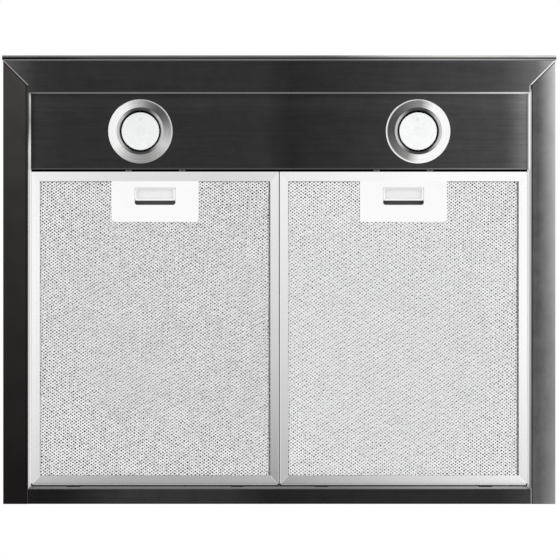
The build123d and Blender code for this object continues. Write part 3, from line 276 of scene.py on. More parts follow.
GRAIN = {"x": (6, 2200, 2200), "y": (2200, 6, 2200), "z": (2200, 2200, 6)}
ALONG = {"x": (1, 0, 0), "y": (0, 1, 0), "z": (0, 0, 1)}


def brushed(paint, axis, base, rough, streak, cloud):
    """Brushed metal with its scratches along one axis. Returns its colour, which later masks may change."""
    lines = paint.noise(GRAIN[axis], detail=2.0)
    wide = paint.noise(tuple(14 if s < 10 else 320 for s in GRAIN[axis]), detail=3.0, seed=2)
    smears = paint.noise((60, 60, 60), detail=5.0, rough=0.65, seed=4)
    change = paint.add(1.0 - streak / 2 - cloud, paint.times(lines, streak), paint.times(wide, 0.9 * cloud),
                       paint.times(smears, 1.1 * cloud))
    paint.set(metallic=1.0, anisotropic=0.6, anisotropic_rotation=0.25)
    paint.set(roughness=paint.add(rough - 0.05, paint.times(lines, 0.05), paint.times(smears, 0.05)))
    paint.direction(ALONG[axis])
    return paint.scaled(base, change)


BLACK = (0.0300, 0.0296, 0.0302)
# Near black for painted shadow in the seam gaps and along the opening's edge
SHADE_BLACK = (0.004, 0.004, 0.004)
ZINC = (0.48, 0.49, 0.50)


def underside(paint):
    """1 on the lower faces of the flanges, 0 above them."""
    return paint.ramp(paint.z, 3.0, 1.0)


def right_half(paint):
    """0 on the left of the hood, 1 on the right."""
    return paint.ramp(paint.x, -1.0, 1.0)


def below_slopes(paint):
    """1 up to just above the recess, 0 on the canopy's slopes."""
    return paint.ramp(paint.z, RECESS + 4, RECESS + 2)


def black_steel(name, axis, lines=None, cloud=0.5):
    """Black stainless steel. lines adds the painted reflections, highlights and shade on its flanges, edges
    and seams.
    """
    paint = Paint(name)
    colour = brushed(paint, axis, BLACK, rough=0.30, streak=0.25, cloud=cloud)
    if lines:
        colour = lines(paint, colour)
    paint.set(base_color=colour)
    return paint.material


def mitre_offset(paint):
    """Distance in millimetres from the mitre line, positive on the side flange."""
    across = paint.math("ABSOLUTE", paint.x)
    along = paint.math("SUBTRACT", paint.y, SKIN_FRONT)
    return paint.times(paint.add(paint.math("SUBTRACT", across, SIDE), along), math.sqrt(0.5))


def dress(node, material):
    """Gives a solid its material."""
    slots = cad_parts[node].data.materials
    slots.clear()
    slots.append(material)


def mesh_piece(name, body, points, faces, material, node, smooth=False):
    """A piece made of points and faces, which takes the place of a solid and moves with its body."""
    data = bpy.data.meshes.new(name)
    data.from_pydata(points, [], faces)
    data.update()
    if smooth:
        data.shade_smooth()
    data.materials.append(material)
    piece = bpy.data.objects.new(name, data)
    bpy.context.scene.collection.objects.link(piece)
    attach(piece, body)
    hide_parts(node)
    return piece


def expanded_metal(word, sign, material, node="filter_mesh", name="expanded_metal", low_face=MESH_LOW,
                   size=1.0):
    """One layer of a grease filter: staggered six-sided holes between slanted strands, in two halves."""
    middle = sign * FILTER_MIDDLE
    half_x = FILTER_HALF - RAIL_SIDE + MESH_UNDER_RAIL
    half_y = FILTER_LONG_HALF - RAIL_END + MESH_UNDER_RAIL
    turn = math.radians(MESH_TURN[word])
    cos, sin = math.cos(turn), math.sin(turn)
    step_x, step_y = size * MESH_LONG / 2, size * MESH_SHORT / 2
    corners = [(step_x, 0, 0.5), (MESH_TIP, step_y, 0), (-MESH_TIP, step_y, 0), (-step_x, 0, 0.5),
               (-MESH_TIP, -step_y, 1), (MESH_TIP, -step_y, 1)]

    def kept(x, y):
        if abs(x) > half_x or abs(y) > half_y:
            return False
        return not (abs(x) < POCKET_HALF and y + FILTER_CENTRE < POCKET_REAR)

    columns, rows = int(half_x / step_x) + 8, int(half_y / step_y) + 12
    holes = {}
    points = []
    for i in range(-columns, columns + 1):
        for j in range(-rows, rows + 1):
            u, v = i * step_x, j * step_y
            if (i + j) % 2 or not kept(u * cos - v * sin, u * sin + v * cos):
                continue
            holes[i, j] = len(points)
            low = low_face + random.uniform(0, MESH_JITTER)
            hole = MESH_HOLE[word] * random.uniform(1 - MESH_JITTER, 1 + MESH_JITTER)
            hole *= 1 + MESH_ODD * (-1) ** i
            u += random.uniform(-MESH_JITTER, MESH_JITTER)
            v += random.uniform(-MESH_JITTER, MESH_JITTER) / 2
            for layer in (0, MESH_WALL):
                for cx, cy, high in corners:
                    pu, pv = u + cx * hole, v + cy * hole
                    place = (middle + pu * cos - pv * sin, FILTER_CENTRE + pu * sin + pv * cos,
                             low + MESH_RISE * high + layer)
                    points.append([distance * MM for distance in place])
    halves = ([], [])
    for (i, j), a in holes.items():
        faces = halves[j > 0]
        faces += [(a + k, a + 6 + k, a + 6 + (k + 1) % 6, a + (k + 1) % 6) for k in range(6)]
        above, beside, under = (holes.get(key) for key in ((i, j + 2), (i + 1, j + 1), (i + 1, j - 1)))
        if above is not None:
            faces.append((a + 2, a + 1, above + 5, above + 4))
        if beside is not None:
            faces.append((a + 1, a, beside + 4, beside + 3))
        if under is not None:
            faces.append((a, a + 5, under + 3, under + 2))
        if above is not None and beside is not None:
            faces.append((a + 1, beside + 3, above + 5))
        if beside is not None and under is not None:
            faces.append((a, under + 2, beside + 4))
    for half, faces in zip(("front", "rear"), halves):
        used = sorted({index for face in faces for index in face})
        order = {index: count for count, index in enumerate(used)}
        mesh_piece(f"{name}_{word}_{half}", f"filter_{word}", [points[index] for index in used],
                   [[order[index] for index in face] for face in faces], material, f"{node}_{word}")


def latch_coils(word, sign, material):
    """The two coil springs behind a latch, built at one length. On the real latch they shorten towards the
    rear as it is pulled.
    """
    node = f"latch_springs_{word}"
    low, high = [[distance / MM for distance in corner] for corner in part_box(node)]
    length = high[1] - low[1]
    level = (low[2] + high[2]) / 2
    steps = COIL_TURNS * COIL_STEPS
    ring = [2 * math.pi * k / COIL_SIDES for k in range(COIL_SIDES)]
    points, faces = [], []
    for side in (-1, 1):
        middle = sign * FILTER_MIDDLE + side * BOLT_SPACING / 2
        first = len(points)
        for step in range(steps + 1):
            angle = 2 * math.pi * step / COIL_STEPS
            along = low[1] + COIL_WIRE + (length - 2 * COIL_WIRE) * step / steps
            for around in ring:
                radius = COIL_RADIUS - COIL_WIRE + COIL_WIRE * math.cos(around)
                place = (middle + radius * math.cos(angle), along + COIL_WIRE * math.sin(around),
                         level + radius * math.sin(angle))
                points.append([distance * MM for distance in place])
        for step in range(steps):
            a = first + step * COIL_SIDES
            for k in range(COIL_SIDES):
                after = (k + 1) % COIL_SIDES
                faces.append((a + k, a + COIL_SIDES + k, a + COIL_SIDES + after, a + after))
        faces.append(tuple(range(first, first + COIL_SIDES)))
        faces.append(tuple(reversed(range(len(points) - COIL_SIDES, len(points)))))
    coils = mesh_piece(f"latch_coils_{word}", f"filter_{word}", points, faces, material, node, smooth=True)
    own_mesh(coils)


# Camera, straight below and looking up, with the front at the top of the picture
camera_data = bpy.data.cameras.new("camera")
camera_data.lens = CAMERA_LENS
camera_data.sensor_width = CAMERA_SENSOR
camera_data.clip_end = CAMERA_REACH
camera = bpy.data.objects.new("camera", camera_data)
camera.location = CAMERA_PLACE
camera.rotation_euler = (math.pi, 0, 0)
bpy.context.scene.collection.objects.link(camera)
bpy.context.scene.camera = camera
bpy.context.scene.view_settings.view_transform = "Standard"

# World: white behind the object, even light, and a gradient with three bright lobes for reflections only
world = bpy.data.worlds.new("studio")
bpy.context.scene.world = world
world.use_nodes = True
sky = Nodes(world.node_tree)
out = sky.tree.nodes.new("ShaderNodeOutputWorld")
shade = sky.tree.nodes.new("ShaderNodeBackground")
sky.tree.links.new(shade.outputs[0], out.inputs[0])
rays = sky.tree.nodes.new("ShaderNodeLightPath").outputs
to_right, to_rear, upward = sky.split(sky.tree.nodes.new("ShaderNodeTexCoord").outputs["Generated"])
from_below = sky.ramp(sky.times(upward, -1.0), 0.1, 0.6)
glow = sky.add(0.55, sky.times(from_below, 0.47), sky.times(sky.ramp(upward, 0.25, 0.9), 0.35))
ahead = sky.times(to_rear, -1.0)
for turn, power in ((-0.35, 1.8), (2.0, 1.6), (-2.0, 1.3)):
    facing = sky.add(sky.times(to_right, math.sin(turn)), sky.times(ahead, math.cos(turn)))
    glow = sky.add(glow, sky.times(sky.ramp(facing, 0.80, 0.97), power))
mirrored = rays["Is Glossy Ray"]
light_level = sky.add(sky.times(glow, mirrored), sky.times(1.02, sky.rest(mirrored)))
seen = sky.math("MAXIMUM", rays["Is Camera Ray"], rays["Is Transmission Ray"])
shade.inputs["Color"].default_value = (1, 1, 1, 1)
sky.tree.links.new(sky.add(sky.times(light_level, sky.rest(seen)), seen), shade.inputs["Strength"])


def soft_box(name, place, aim, size, power):
    """A square light that the camera doesn't see."""
    data = bpy.data.lights.new(name, "AREA")
    data.shape = "RECTANGLE"
    data.size, data.size_y = size
    data.energy = power
    lamp = bpy.data.objects.new(name, data)
    lamp.location = place
    lamp.rotation_euler = (Vector(aim) - Vector(place)).to_track_quat("-Z", "Y").to_euler()
    lamp.visible_camera = False
    bpy.context.scene.collection.objects.link(lamp)


soft_box("key_box", (-1.8, -2.4, 2.0), (0, 0, 0.3), (1.4, 1.4), 60)
soft_box("fill_box", (2.4, -1.2, 1.3), (0, 0, 0.3), (1.2, 1.2), 25)

# Floor
floor_paint = Paint("floor")
floor_tone = floor_paint.add(0.97, floor_paint.times(floor_paint.noise((0.7, 0.7, 0.7)), 0.01))
floor_paint.set(base_color=floor_paint.grey(floor_tone), roughness=0.9)
floor_data = bpy.data.meshes.new("floor")
signs = ((-1, -1), (1, -1), (1, 1), (-1, 1))
floor_data.from_pydata([(x * FLOOR_HALF, y * FLOOR_HALF, FLOOR_LOW) for x, y in signs], [], [(0, 1, 2, 3)])
floor_data.materials.append(floor_paint.material)
floor = bpy.data.objects.new("floor", floor_data)
bpy.context.scene.collection.objects.link(floor)
floor.visible_glossy = False


# Black steel panels
def seam_lines(paint, colour):
    """The mitre seams: a painted highlight along each one, brighter on the right, and painted shadow in the
    gap beside it.
    """
    low = underside(paint)
    offset = mitre_offset(paint)
    on_flange = paint.times(low, paint.ramp(paint.math("ABSOLUTE", paint.x), OPEN_SIDE - 0.4, OPEN_SIDE))
    right = right_half(paint)
    # Painted shadow in the gap beside the seam
    gap = paint.times(on_flange, paint.band(offset, 0.9, 1.5, 0.4))
    colour = paint.colour(paint.times(gap, 0.8), colour, SHADE_BLACK)
    # Painted highlight on the seam, pale on the left and bright on the right
    seam = paint.times(on_flange, paint.band(offset, -0.45, 0.35, 0.35))
    bright = paint.colour(right, (0.30, 0.30, 0.30), (0.95, 0.95, 0.95))
    return paint.colour(seam, colour, bright)


def side_lines(paint, colour):
    """Painted reflections on the flanges: a warm one on the left flange that fades towards the rear, and a
    smeared one on the right that grows brighter outwards. Painted highlights and shade at the seams and
    edges, and painted reflections on the opening's side walls.
    """
    low = underside(paint)
    across = paint.math("ABSOLUTE", paint.x)
    right = right_half(paint)
    left = paint.rest(right)
    # Painted reflection on the left flange: warm, brightest at the front, fading towards the rear
    left_reflection = paint.line(paint.y, (-220.0, 0.055), (-60.0, 0.030), (225.0, 0.012))
    left_reflection = paint.times(left_reflection, paint.add(0.7, paint.times(paint.noise((25, 25, 25), seed=9), 0.6)))
    colour = paint.colour(paint.times(low, left), colour, paint.scaled((1.06, 0.96, 0.93), left_reflection))
    # Painted reflection on the right flange: smeared, brighter at the front and towards its outer edge
    smears = paint.noise((70, 45, 45), detail=5.0, rough=0.65, seed=6)
    outward = paint.ramp(paint.x, 280.0, 298.0)
    outward = paint.times(paint.add(outward, paint.times(outward, outward)), 0.5)
    level = paint.add(paint.line(paint.y, (-235.0, 0.11), (-150.0, 0.08), (60.0, 0.08), (200.0, 0.10)),
                      paint.times(smears, 0.12), -0.035,
                      paint.times(outward, paint.line(paint.y, (-200.0, 0.48), (120.0, 0.17))))
    right_reflection = paint.scaled((1.0, 1.0, 1.02), level)
    colour = paint.colour(paint.times(low, right), colour, right_reflection)
    # Painted shade: a dark line along the flange just outside the opening
    dark_edge = paint.times(low, paint.band(across, OPEN_SIDE + 1.3, OPEN_SIDE + 2.4, 0.5))
    colour = paint.colour(paint.times(dark_edge, 0.5), colour, SHADE_BLACK)
    # Painted highlight on the rear seam at the side of the opening, pale on the right and dark on the left
    rear_seam_highlight = paint.times(low, paint.ramp(across, OPEN_SIDE + 1.0, OPEN_SIDE + 0.7),
                            paint.ramp(paint.y, OPEN_REAR - 2, OPEN_REAR))
    colour = paint.colour(rear_seam_highlight, colour, paint.colour(right, (0.07, 0.07, 0.07), (0.50, 0.50, 0.50)))
    colour = seam_lines(paint, colour)
    # The opening's side walls are painted with reflections along their length, painted darker low on the
    # left wall and high on the right wall beside the light panel
    wall = paint.times(paint.ramp(across, OPEN_SIDE + 0.9, OPEN_SIDE + 0.4), paint.ramp(paint.z, 0.2, 1.5),
                       below_slopes(paint))
    paint.lean(paint.times(wall, 0.85), aim_inward(paint))
    beside_panel = paint.ramp(paint.y, FILTER_FRONT, LIGHT_REAR)
    low_part = paint.times(beside_panel, paint.ramp(paint.z, 10.0, 6.0),
                           paint.line(paint.y, (-160.0, 0.8), (-140.0, 0.3)))
    left_wall = paint.line(paint.y, (-200.0, 0.64), (-173.0, 0.38), (-145.0, 0.80), (FILTER_FRONT, 0.64))
    left_wall = paint.times(left_wall, paint.rest(low_part))
    top_part = paint.times(beside_panel, paint.ramp(paint.z, 10.0, 16.0), 0.6)
    right_wall = paint.line(paint.y, (FILTER_FRONT - 4, 0.97), (FILTER_FRONT, 0.62), (60.0, 0.56),
                            (FILTER_REAR, 0.32))
    right_wall = paint.times(right_wall, paint.rest(top_part))
    wall_reflection = paint.add(paint.times(left_wall, left), paint.times(right_wall, right))
    colour = paint.colour(wall, colour, paint.grey(wall_reflection))
    # Painted reflection of the rail on the side wall beside it
    rail_reflection = paint.times(wall, paint.rest(beside_panel),
                              paint.ramp(paint.z, 12.0, 15.0))
    colour = paint.colour(rail_reflection, colour, (0.95, 0.95, 0.95))
    # Painted highlight along the right flange's inner edge, bright at the front, fading towards the rear
    lip_highlight = paint.times(low, right, paint.ramp(across, OPEN_SIDE + 1.0, OPEN_SIDE + 0.6),
                      paint.ramp(paint.y, OPEN_REAR - 1, OPEN_REAR - 2))
    lip_highlight_level = paint.line(paint.y, (-200.0, 0.85), (FILTER_FRONT, 0.60), (60.0, 0.35), (FILTER_REAR, 0.15))
    lip_highlight_level = paint.times(lip_highlight_level, paint.ramp(paint.y, OPEN_FRONT - 3.6, OPEN_FRONT))
    return paint.colour(lip_highlight, colour, paint.grey(lip_highlight_level))


def aim_inward(paint):
    """A direction that points down and a little towards the middle of the hood."""
    inward = paint.math("SUBTRACT", 0.25, paint.times(right_half(paint), 0.5))
    return paint.combine(inward, 0.0, -1.0)


def sheen(paint):
    """Painted reflection on the cross-wise steel, as a brightness from left to right: a dull middle and a
    brighter right end.
    """
    return paint.line(paint.x, (-275.0, 1.35), (-235.0, 1.05), (-15.0, 1.1), (12.0, 0.78), (90.0, 1.2),
                      (240.0, 2.3))


def front_lines(paint, colour):
    """Front flange: painted reflection, paler towards the right end and at the left end, a painted highlight
    on the bend at the front, and a painted reflection on the return edge.
    """
    low = underside(paint)
    # Painted reflection along the flange, brighter at its left end
    ends = paint.line(paint.x, (-296.0, 2.2), (-262.0, 1.0))
    colour = paint.colour(low, colour, paint.scaled(colour, paint.times(sheen(paint), ends)))
    # Painted reflection at the right end: smeared, brightest at the outer edge
    to_right = paint.ramp(paint.x, 225.0, 285.0)
    smears = paint.noise((30, 120, 120), detail=4.0, seed=11)
    pale = paint.add(0.10, paint.times(smears, 0.16), paint.times(paint.ramp(paint.x, 278.0, 297.0), 0.22))
    pale = paint.scaled((1.0, 1.0, 1.01), pale)
    colour = paint.colour(paint.times(low, paint.times(to_right, to_right)), colour, pale)
    # Painted highlight on the bend at the front
    bend = paint.times(low, paint.ramp(paint.y, SKIN_FRONT + 0.8, SKIN_FRONT + 0.3))
    colour = paint.colour(paint.times(bend, 0.85), colour, (0.30, 0.30, 0.30))
    colour = seam_lines(paint, colour)
    # Painted highlight: a short pale line at the right side of the opening, just in front of it
    stub = paint.times(low, paint.band(paint.x, OPEN_SIDE - 1.1, OPEN_SIDE),
                       paint.ramp(paint.y, OPEN_FRONT - 7.2, OPEN_FRONT - 6.4))
    colour = paint.colour(stub, colour, (0.55, 0.55, 0.55))
    back = paint.times(paint.ramp(paint.y, OPEN_FRONT - 0.9, OPEN_FRONT - 0.4),
                       paint.ramp(paint.z, 2.5, 3.5), below_slopes(paint),
                       paint.ramp(paint.math("ABSOLUTE", paint.x), OPEN_SIDE + 0.4, OPEN_SIDE))
    paint.lean(paint.times(back, 0.85), (0, 0.25, -1.0))
    # Painted reflection on the return edge, brighter to the right
    end = paint.ramp(paint.x, 60.0, 260.0)
    edge = paint.colour(paint.times(end, end), (0.17, 0.17, 0.17), (0.75, 0.75, 0.75))
    return paint.colour(back, colour, edge)


def panel_lines(paint, colour):
    """The light panel: painted reflection, brighter beside the right wall and towards the front, and a
    painted highlight on its rear edge, brighter to the right.
    """
    beside = paint.ramp(paint.x, 240.0, 271.0)
    # Painted reflection: brighter beside the right wall and towards the front
    change = paint.times(sheen(paint), paint.add(1.0, paint.times(beside, beside, 2.2)),
                         paint.line(paint.y, (OPEN_FRONT, 1.4), (-180.0, 1.0)))
    colour = paint.scaled(colour, change)
    # Painted highlight on the rear edge, brighter to the right
    edge = paint.ramp(paint.y, LIGHT_REAR - 1.5, LIGHT_REAR - 0.7)
    right = paint.ramp(paint.x, 100.0, 220.0)
    return paint.colour(edge, colour, paint.colour(right, (0.10, 0.10, 0.10), (0.28, 0.28, 0.28)))


def rear_lines(paint, colour):
    """The rear flange with a painted reflection, dull in the middle and at its left end, and a painted
    highlight on its front edge and return, brighter to the right.
    """
    # Painted reflection along the flange
    change = paint.line(paint.x, (-240.0, 0.45), (-165.0, 1.25), (-50.0, 1.1), (-15.0, 0.6), (100.0, 0.85),
                        (240.0, 0.95), (271.0, 1.8))
    low = underside(paint)
    colour = paint.colour(low, colour, paint.scaled(colour, change))
    # Painted highlight on the front edge and return
    edge = paint.times(paint.ramp(paint.y, OPEN_REAR + 0.9, OPEN_REAR + 0.4), paint.ramp(paint.z, 4.0, 6.0))
    paint.lean(paint.times(edge, 0.85), (0, -0.25, -1.0))
    right = paint.ramp(paint.x, 60.0, 220.0)
    return paint.colour(edge, colour, paint.colour(right, (0.20, 0.20, 0.20), (0.36, 0.36, 0.36)))


def fascia_lines(paint, colour):
    """Painted reflections in bands on the folded strip along the front, paler to the right: a reflection on
    the front fold, a dark painted band, and a paler painted band behind the rear fold.
    """
    low = paint.ramp(paint.z, 4.0, 2.0)
    right = paint.ramp(paint.x, 60.0, 170.0)
    patch = paint.noise((40, 200, 200), detail=3.0, seed=14)
    # Painted reflections on the strip's bands, brighter to the right
    front = paint.colour(right, (0.15, 0.15, 0.15), (0.62, 0.62, 0.60))
    front = paint.scaled(front, paint.add(0.7, paint.times(patch, 0.6)))
    dark = paint.line(paint.x, (-235.0, 0.004), (-200.0, 0.04), (60.0, 0.04), (170.0, 0.10))
    dark = paint.grey(dark)
    band = paint.colour(paint.ramp(paint.y, FOLD_FRONT - 0.3, FOLD_FRONT + 0.3), front, dark)
    edge = paint.colour(right, (0.24, 0.24, 0.24), (0.48, 0.48, 0.48))
    band = paint.colour(paint.ramp(paint.y, FOLD_REAR - 0.25, FOLD_REAR + 0.25), band, edge)
    return paint.colour(low, colour, band)


dress("front_panel", black_steel("front_panel_steel", "x", front_lines))
side_steel = black_steel("side_panel_steel", "y", side_lines)
dress("left_panel", side_steel)
dress("right_panel", side_steel)
dress("rear_panel", black_steel("rear_panel_steel", "x", rear_lines))
dress("light_panel", black_steel("light_panel_steel", "x", panel_lines))
dress("front_fascia", black_steel("fascia_steel", "x", fascia_lines))
chimney_steel = black_steel("chimney_steel", "z", cloud=0.2)
dress("lower_chimney", chimney_steel)
dress("upper_chimney", chimney_steel)


# Filters
def rail_metal(word, sign, reflection_tones):
    """Drawn aluminium, brushed along each rail, with fine mitre seams. Each rail has a painted reflection of
    its own, with painted glints at the seams, a painted highlight at the rim and painted shadow in the rear
    corners.
    """
    paint = Paint(f"rail_{word}")
    across = paint.math("SUBTRACT", paint.x, sign * FILTER_MIDDLE)
    back = paint.math("SUBTRACT", paint.y, FILTER_CENTRE)
    in_x = paint.math("SUBTRACT", FILTER_HALF, paint.math("ABSOLUTE", across))
    in_y = paint.math("SUBTRACT", FILTER_LONG_HALF, paint.math("ABSOLUTE", back))
    corner = paint.math("SUBTRACT", paint.times(in_y, RAIL_SIDE / RAIL_END), in_x)
    side_rail = paint.ramp(corner, -0.1, 0.1)
    outer = paint.ramp(paint.times(across, sign), -1.0, 1.0)
    rear = paint.ramp(back, -1.0, 1.0)
    rightward = paint.ramp(across, -FILTER_HALF, FILTER_HALF)
    rearward = paint.ramp(paint.y, FILTER_FRONT, FILTER_REAR)

    def mix(factor, first, second):
        rest = paint.rest(factor)
        return paint.add(paint.times(first, rest), paint.times(second, factor))

    def tone(rail, along):
        start, change, curve = reflection_tones[rail]
        return paint.add(start, paint.times(along, paint.add(change, paint.times(along, curve))))

    # Painted reflections: each rail's brightness changes along it
    ends = mix(rear, tone("front", rightward), tone("rear", rightward))
    sides = mix(outer, tone("centre", rearward), tone("outer", rearward))
    along_y = paint.noise(GRAIN["y"], detail=2.0)
    along_x = paint.noise(GRAIN["x"], detail=2.0)
    lines = mix(side_rail, along_x, along_y)
    cloud = paint.noise((9, 9, 9), detail=3.0, seed=3)
    change = paint.times(mix(side_rail, ends, sides),
                         paint.add(0.95, paint.times(lines, 0.05), paint.times(cloud, 0.05)))
    # Painted glint on the mitre seams, strongest towards the rear
    seam = paint.ramp(paint.math("ABSOLUTE", corner), 0.7, 0.3)
    glint = paint.line(rear, (0.0, -0.06), (1.0, 0.45))
    change = paint.times(change, paint.add(1.0, paint.times(seam, glint)))
    # Painted highlight along the rails' rim
    rim = paint.ramp(paint.math("MINIMUM", in_x, in_y), 1.0, 0.5)
    change = mix(paint.times(rim, 0.5), change, 0.9)
    # Painted shadow in the rear corners
    corner_shadow = paint.times(rear, paint.ramp(in_x, 1.5, 1.1), paint.ramp(in_y, 1.9, 1.5))
    change = paint.times(change, paint.rest(paint.times(corner_shadow, 0.9)))
    paint.set(metallic=1.0, anisotropic=0.5, anisotropic_rotation=0.25,
              base_color=paint.grey(change),
              roughness=paint.add(0.20, paint.times(lines, 0.06)))
    beside_wall = paint.times(outer, paint.ramp(in_x, 6.5, 2.5))
    paint.lean(beside_wall, (-0.16 * sign, 0, -1.0))
    paint.direction(paint.combine(paint.rest(side_rail), side_rail, 0.0))
    return paint.material


def mesh_metal(word, base, sign=0, metallic=1.0):
    """Thin aluminium strands, each a little different. With a sign, darker where the rails shade them."""
    paint = Paint(f"mesh_{word}")
    grain = paint.noise((420, 420, 420), detail=1.0)
    streaks = paint.noise((260, 22, 22), detail=2.0, seed=5)
    cloud = paint.noise((14, 14, 14), detail=3.0, seed=8)
    change = paint.add(0.54, paint.times(grain, 0.42), paint.times(streaks, 0.42), paint.times(cloud, 0.10))
    if sign:
        across = paint.math("SUBTRACT", paint.x, sign * FILTER_MIDDLE)
        inner = FILTER_HALF - RAIL_SIDE
        front = FILTER_FRONT + RAIL_END
        shade = paint.times(paint.ramp(across, inner - 1.2, inner - 2.8),
                            paint.add(0.6, paint.times(paint.ramp(across, -inner, 2.0 - inner), 0.4)),
                            paint.ramp(paint.y, front - 0.5, front + 1.8))
        change = paint.times(change, paint.add(0.2, paint.times(shade, 0.8)))
    paint.set(metallic=metallic, base_color=paint.scaled(base, change),
              roughness=paint.add(0.28, paint.times(grain, 0.1)))
    return paint.material


def core_metal(word, base):
    """The folded core seen through the mesh: lighter strands around upright holes, which are painted nearly
    black as painted shade.
    """
    paint = Paint(f"core_{word}")
    waves = [paint.math("COSINE", paint.times(value, 2 * math.pi / pitch))
             for value, pitch in ((paint.x, CORE_PITCH_X), (paint.y, CORE_PITCH_Y))]
    # Holes painted nearly black as painted shade
    change = paint.add(0.03, paint.times(paint.ramp(paint.times(*waves), 0.4, -0.3), 1.5))
    paint.set(metallic=0.7, base_color=paint.scaled(base, change), roughness=0.5)
    return paint.material


# Painted reflection on each rail: the start, change and curve of its brightness along the rail
RAIL_REFLECTION_TONES = {
    "left": {"outer": (0.95, 0.10, -0.35), "front": (0.90, -0.50, 0.35), "centre": (0.85, -0.20, -0.30),
             "rear": (0.55, -0.40, 0.35)},
    "right": {"outer": (1.00, 0.15, -0.35), "front": (0.85, 0.30, -0.10), "centre": (0.90, -0.25, -0.15),
              "rear": (0.40, 0.50, 0.0)},
}
STRANDS = {"left": (0.99, 0.98, 0.98), "right": (1.03, 1.03, 1.03)}
CORE_PITCH_X = 3.47
CORE_PITCH_Y = 6.08
CORE = {"left": (0.42, 0.42, 0.42), "right": (0.50, 0.50, 0.50)}
for word, sign in (("left", -1), ("right", 1)):
    dress(f"filter_frame_{word}", rail_metal(word, sign, RAIL_REFLECTION_TONES[word]))
    expanded_metal(word, sign, mesh_metal(word, STRANDS[word], sign))
    dress(f"filter_core_{word}", core_metal(word, CORE[word]))
back_strands = mesh_metal("back", (0.85, 0.85, 0.85), metallic=0.6)
for word, sign in (("left", -1), ("right", 1)):
    expanded_metal(word, sign, back_strands, "filter_back", "back_metal", BACK_LOW, BACK_SIZE)


# Lamps and handles
def from_lamp(paint):
    """Distances in millimetres from the middle of the nearer lamp: outward, forward and along the radius."""
    across = paint.math("SUBTRACT", paint.math("ABSOLUTE", paint.x), LAMP_X)
    along = paint.math("SUBTRACT", LAMP_Y, paint.y)
    radius = paint.math("SQRT", paint.add(paint.times(across, across), paint.times(along, along)))
    return across, along, radius


def bezel_metal():
    """Turned rings on the lamps' trim with painted reflections: a dull fan on each and a painted highlight
    at the rim. A step around the lens, with painted shade at its front and rear and a painted dark ring
    inside it.
    """
    paint = Paint("bezel")
    across, along, radius = from_lamp(paint)
    outward = paint.math("DIVIDE", across, radius)
    forward = paint.math("DIVIDE", along, radius)
    node = paint.tree.nodes.new("ShaderNodeTexNoise")
    node.noise_dimensions = "1D"
    node.inputs["Scale"].default_value = 1.3
    node.inputs["Detail"].default_value = 3.0
    paint.tree.links.new(radius, node.inputs["W"])
    rings = node.outputs[0]
    right = right_half(paint)
    left = paint.rest(right)
    # Painted reflection: a dull fan on each trim, on the side towards the middle of the hood
    left_fan = paint.line(paint.add(paint.times(outward, -0.71), paint.times(forward, 0.71)),
                          (0.3, 0.0), (0.75, 0.45), (1.0, 0.84))
    right_fan = paint.line(paint.add(paint.times(outward, -0.97), paint.times(forward, 0.26)),
                           (-0.3, 0.0), (0.15, 0.72), (1.0, 0.92))
    dull = paint.add(paint.times(left, left_fan), paint.times(right, right_fan))
    # Painted reflection: how bright the rest of the trim is, brighter on the right lamp
    bright = paint.add(paint.times(right, 0.97),
                       paint.times(left, paint.line(outward, (-0.3, 0.62), (0.7, 0.90)),
                                   paint.line(forward, (-1.0, 0.45), (-0.5, 1.0))))
    # Painted highlight at the outer rim
    rim = paint.ramp(radius, TRIM_RIM, TRIM_RIM + 0.8)
    dull = paint.times(dull, paint.rest(paint.times(rim, 0.9)))
    cone = paint.times(bright, paint.rest(dull),
                       paint.add(0.55, paint.times(rings, 0.9)))
    # Painted shade on the step at its front and rear, over a painted reflection
    shaded = paint.line(paint.math("ABSOLUTE", forward), (0.6, 1.0), (0.93, 0.12))
    step = paint.times(paint.line(radius, (23.0, 0.35), (24.2, 0.62), (25.2, 0.5)), shaded)
    # Painted shade: a dark ring at the inner edge of the step
    inner = paint.line(radius, (TRIM_INNER, 0.02), (TRIM_INNER + 0.5, 1.0))
    level = paint.add(paint.times(cone, paint.ramp(radius, TRIM_STEP - 0.2, TRIM_STEP + 0.2)),
                      paint.times(step, inner, paint.ramp(radius, TRIM_STEP + 0.2, TRIM_STEP - 0.2)))
    paint.set(metallic=1.0, anisotropic=0.3, anisotropic_rotation=0.25,
              base_color=paint.scaled((1.0, 0.995, 0.99), level),
              roughness=paint.add(0.12, paint.times(rings, 0.1)))
    paint.lean(0.6, (0, 0, -1.0))
    tangent = paint.tree.nodes.new("ShaderNodeTangent")
    tangent.direction_type = "RADIAL"
    tangent.axis = "Z"
    paint.direction(tangent.outputs[0])
    return paint.material


def lens_plastic():
    """Frosted lens, with the faint shapes of what is behind it. The right one has painted light: it is a
    little brighter.
    """
    paint = Paint("lens")
    cloud = paint.noise((110, 110, 110), detail=4.0, rough=0.6)
    across, along, radius = from_lamp(paint)
    board = paint.times(paint.band(radius, 2.0, 5.0, 1.5), paint.ramp(cloud, 0.35, 0.6))
    screw = paint.band(paint.math("ABSOLUTE", across), 0.0, 1.0, 1.5)
    screw = paint.times(screw, paint.band(along, 12.0, 14.0, 1.5))
    # Painted light: the right lens a little brighter than the left
    level = paint.add(paint.line(paint.x, (-1.0, 0.755), (1.0, 0.825)), paint.times(cloud, 0.17),
                      paint.times(board, -0.07), paint.times(screw, -0.10))
    paint.set(base_color=paint.scaled((0.99, 1.0, 1.0), level),
              roughness=paint.add(0.25, paint.times(cloud, 0.15)), ior=1.5)
    return paint.material


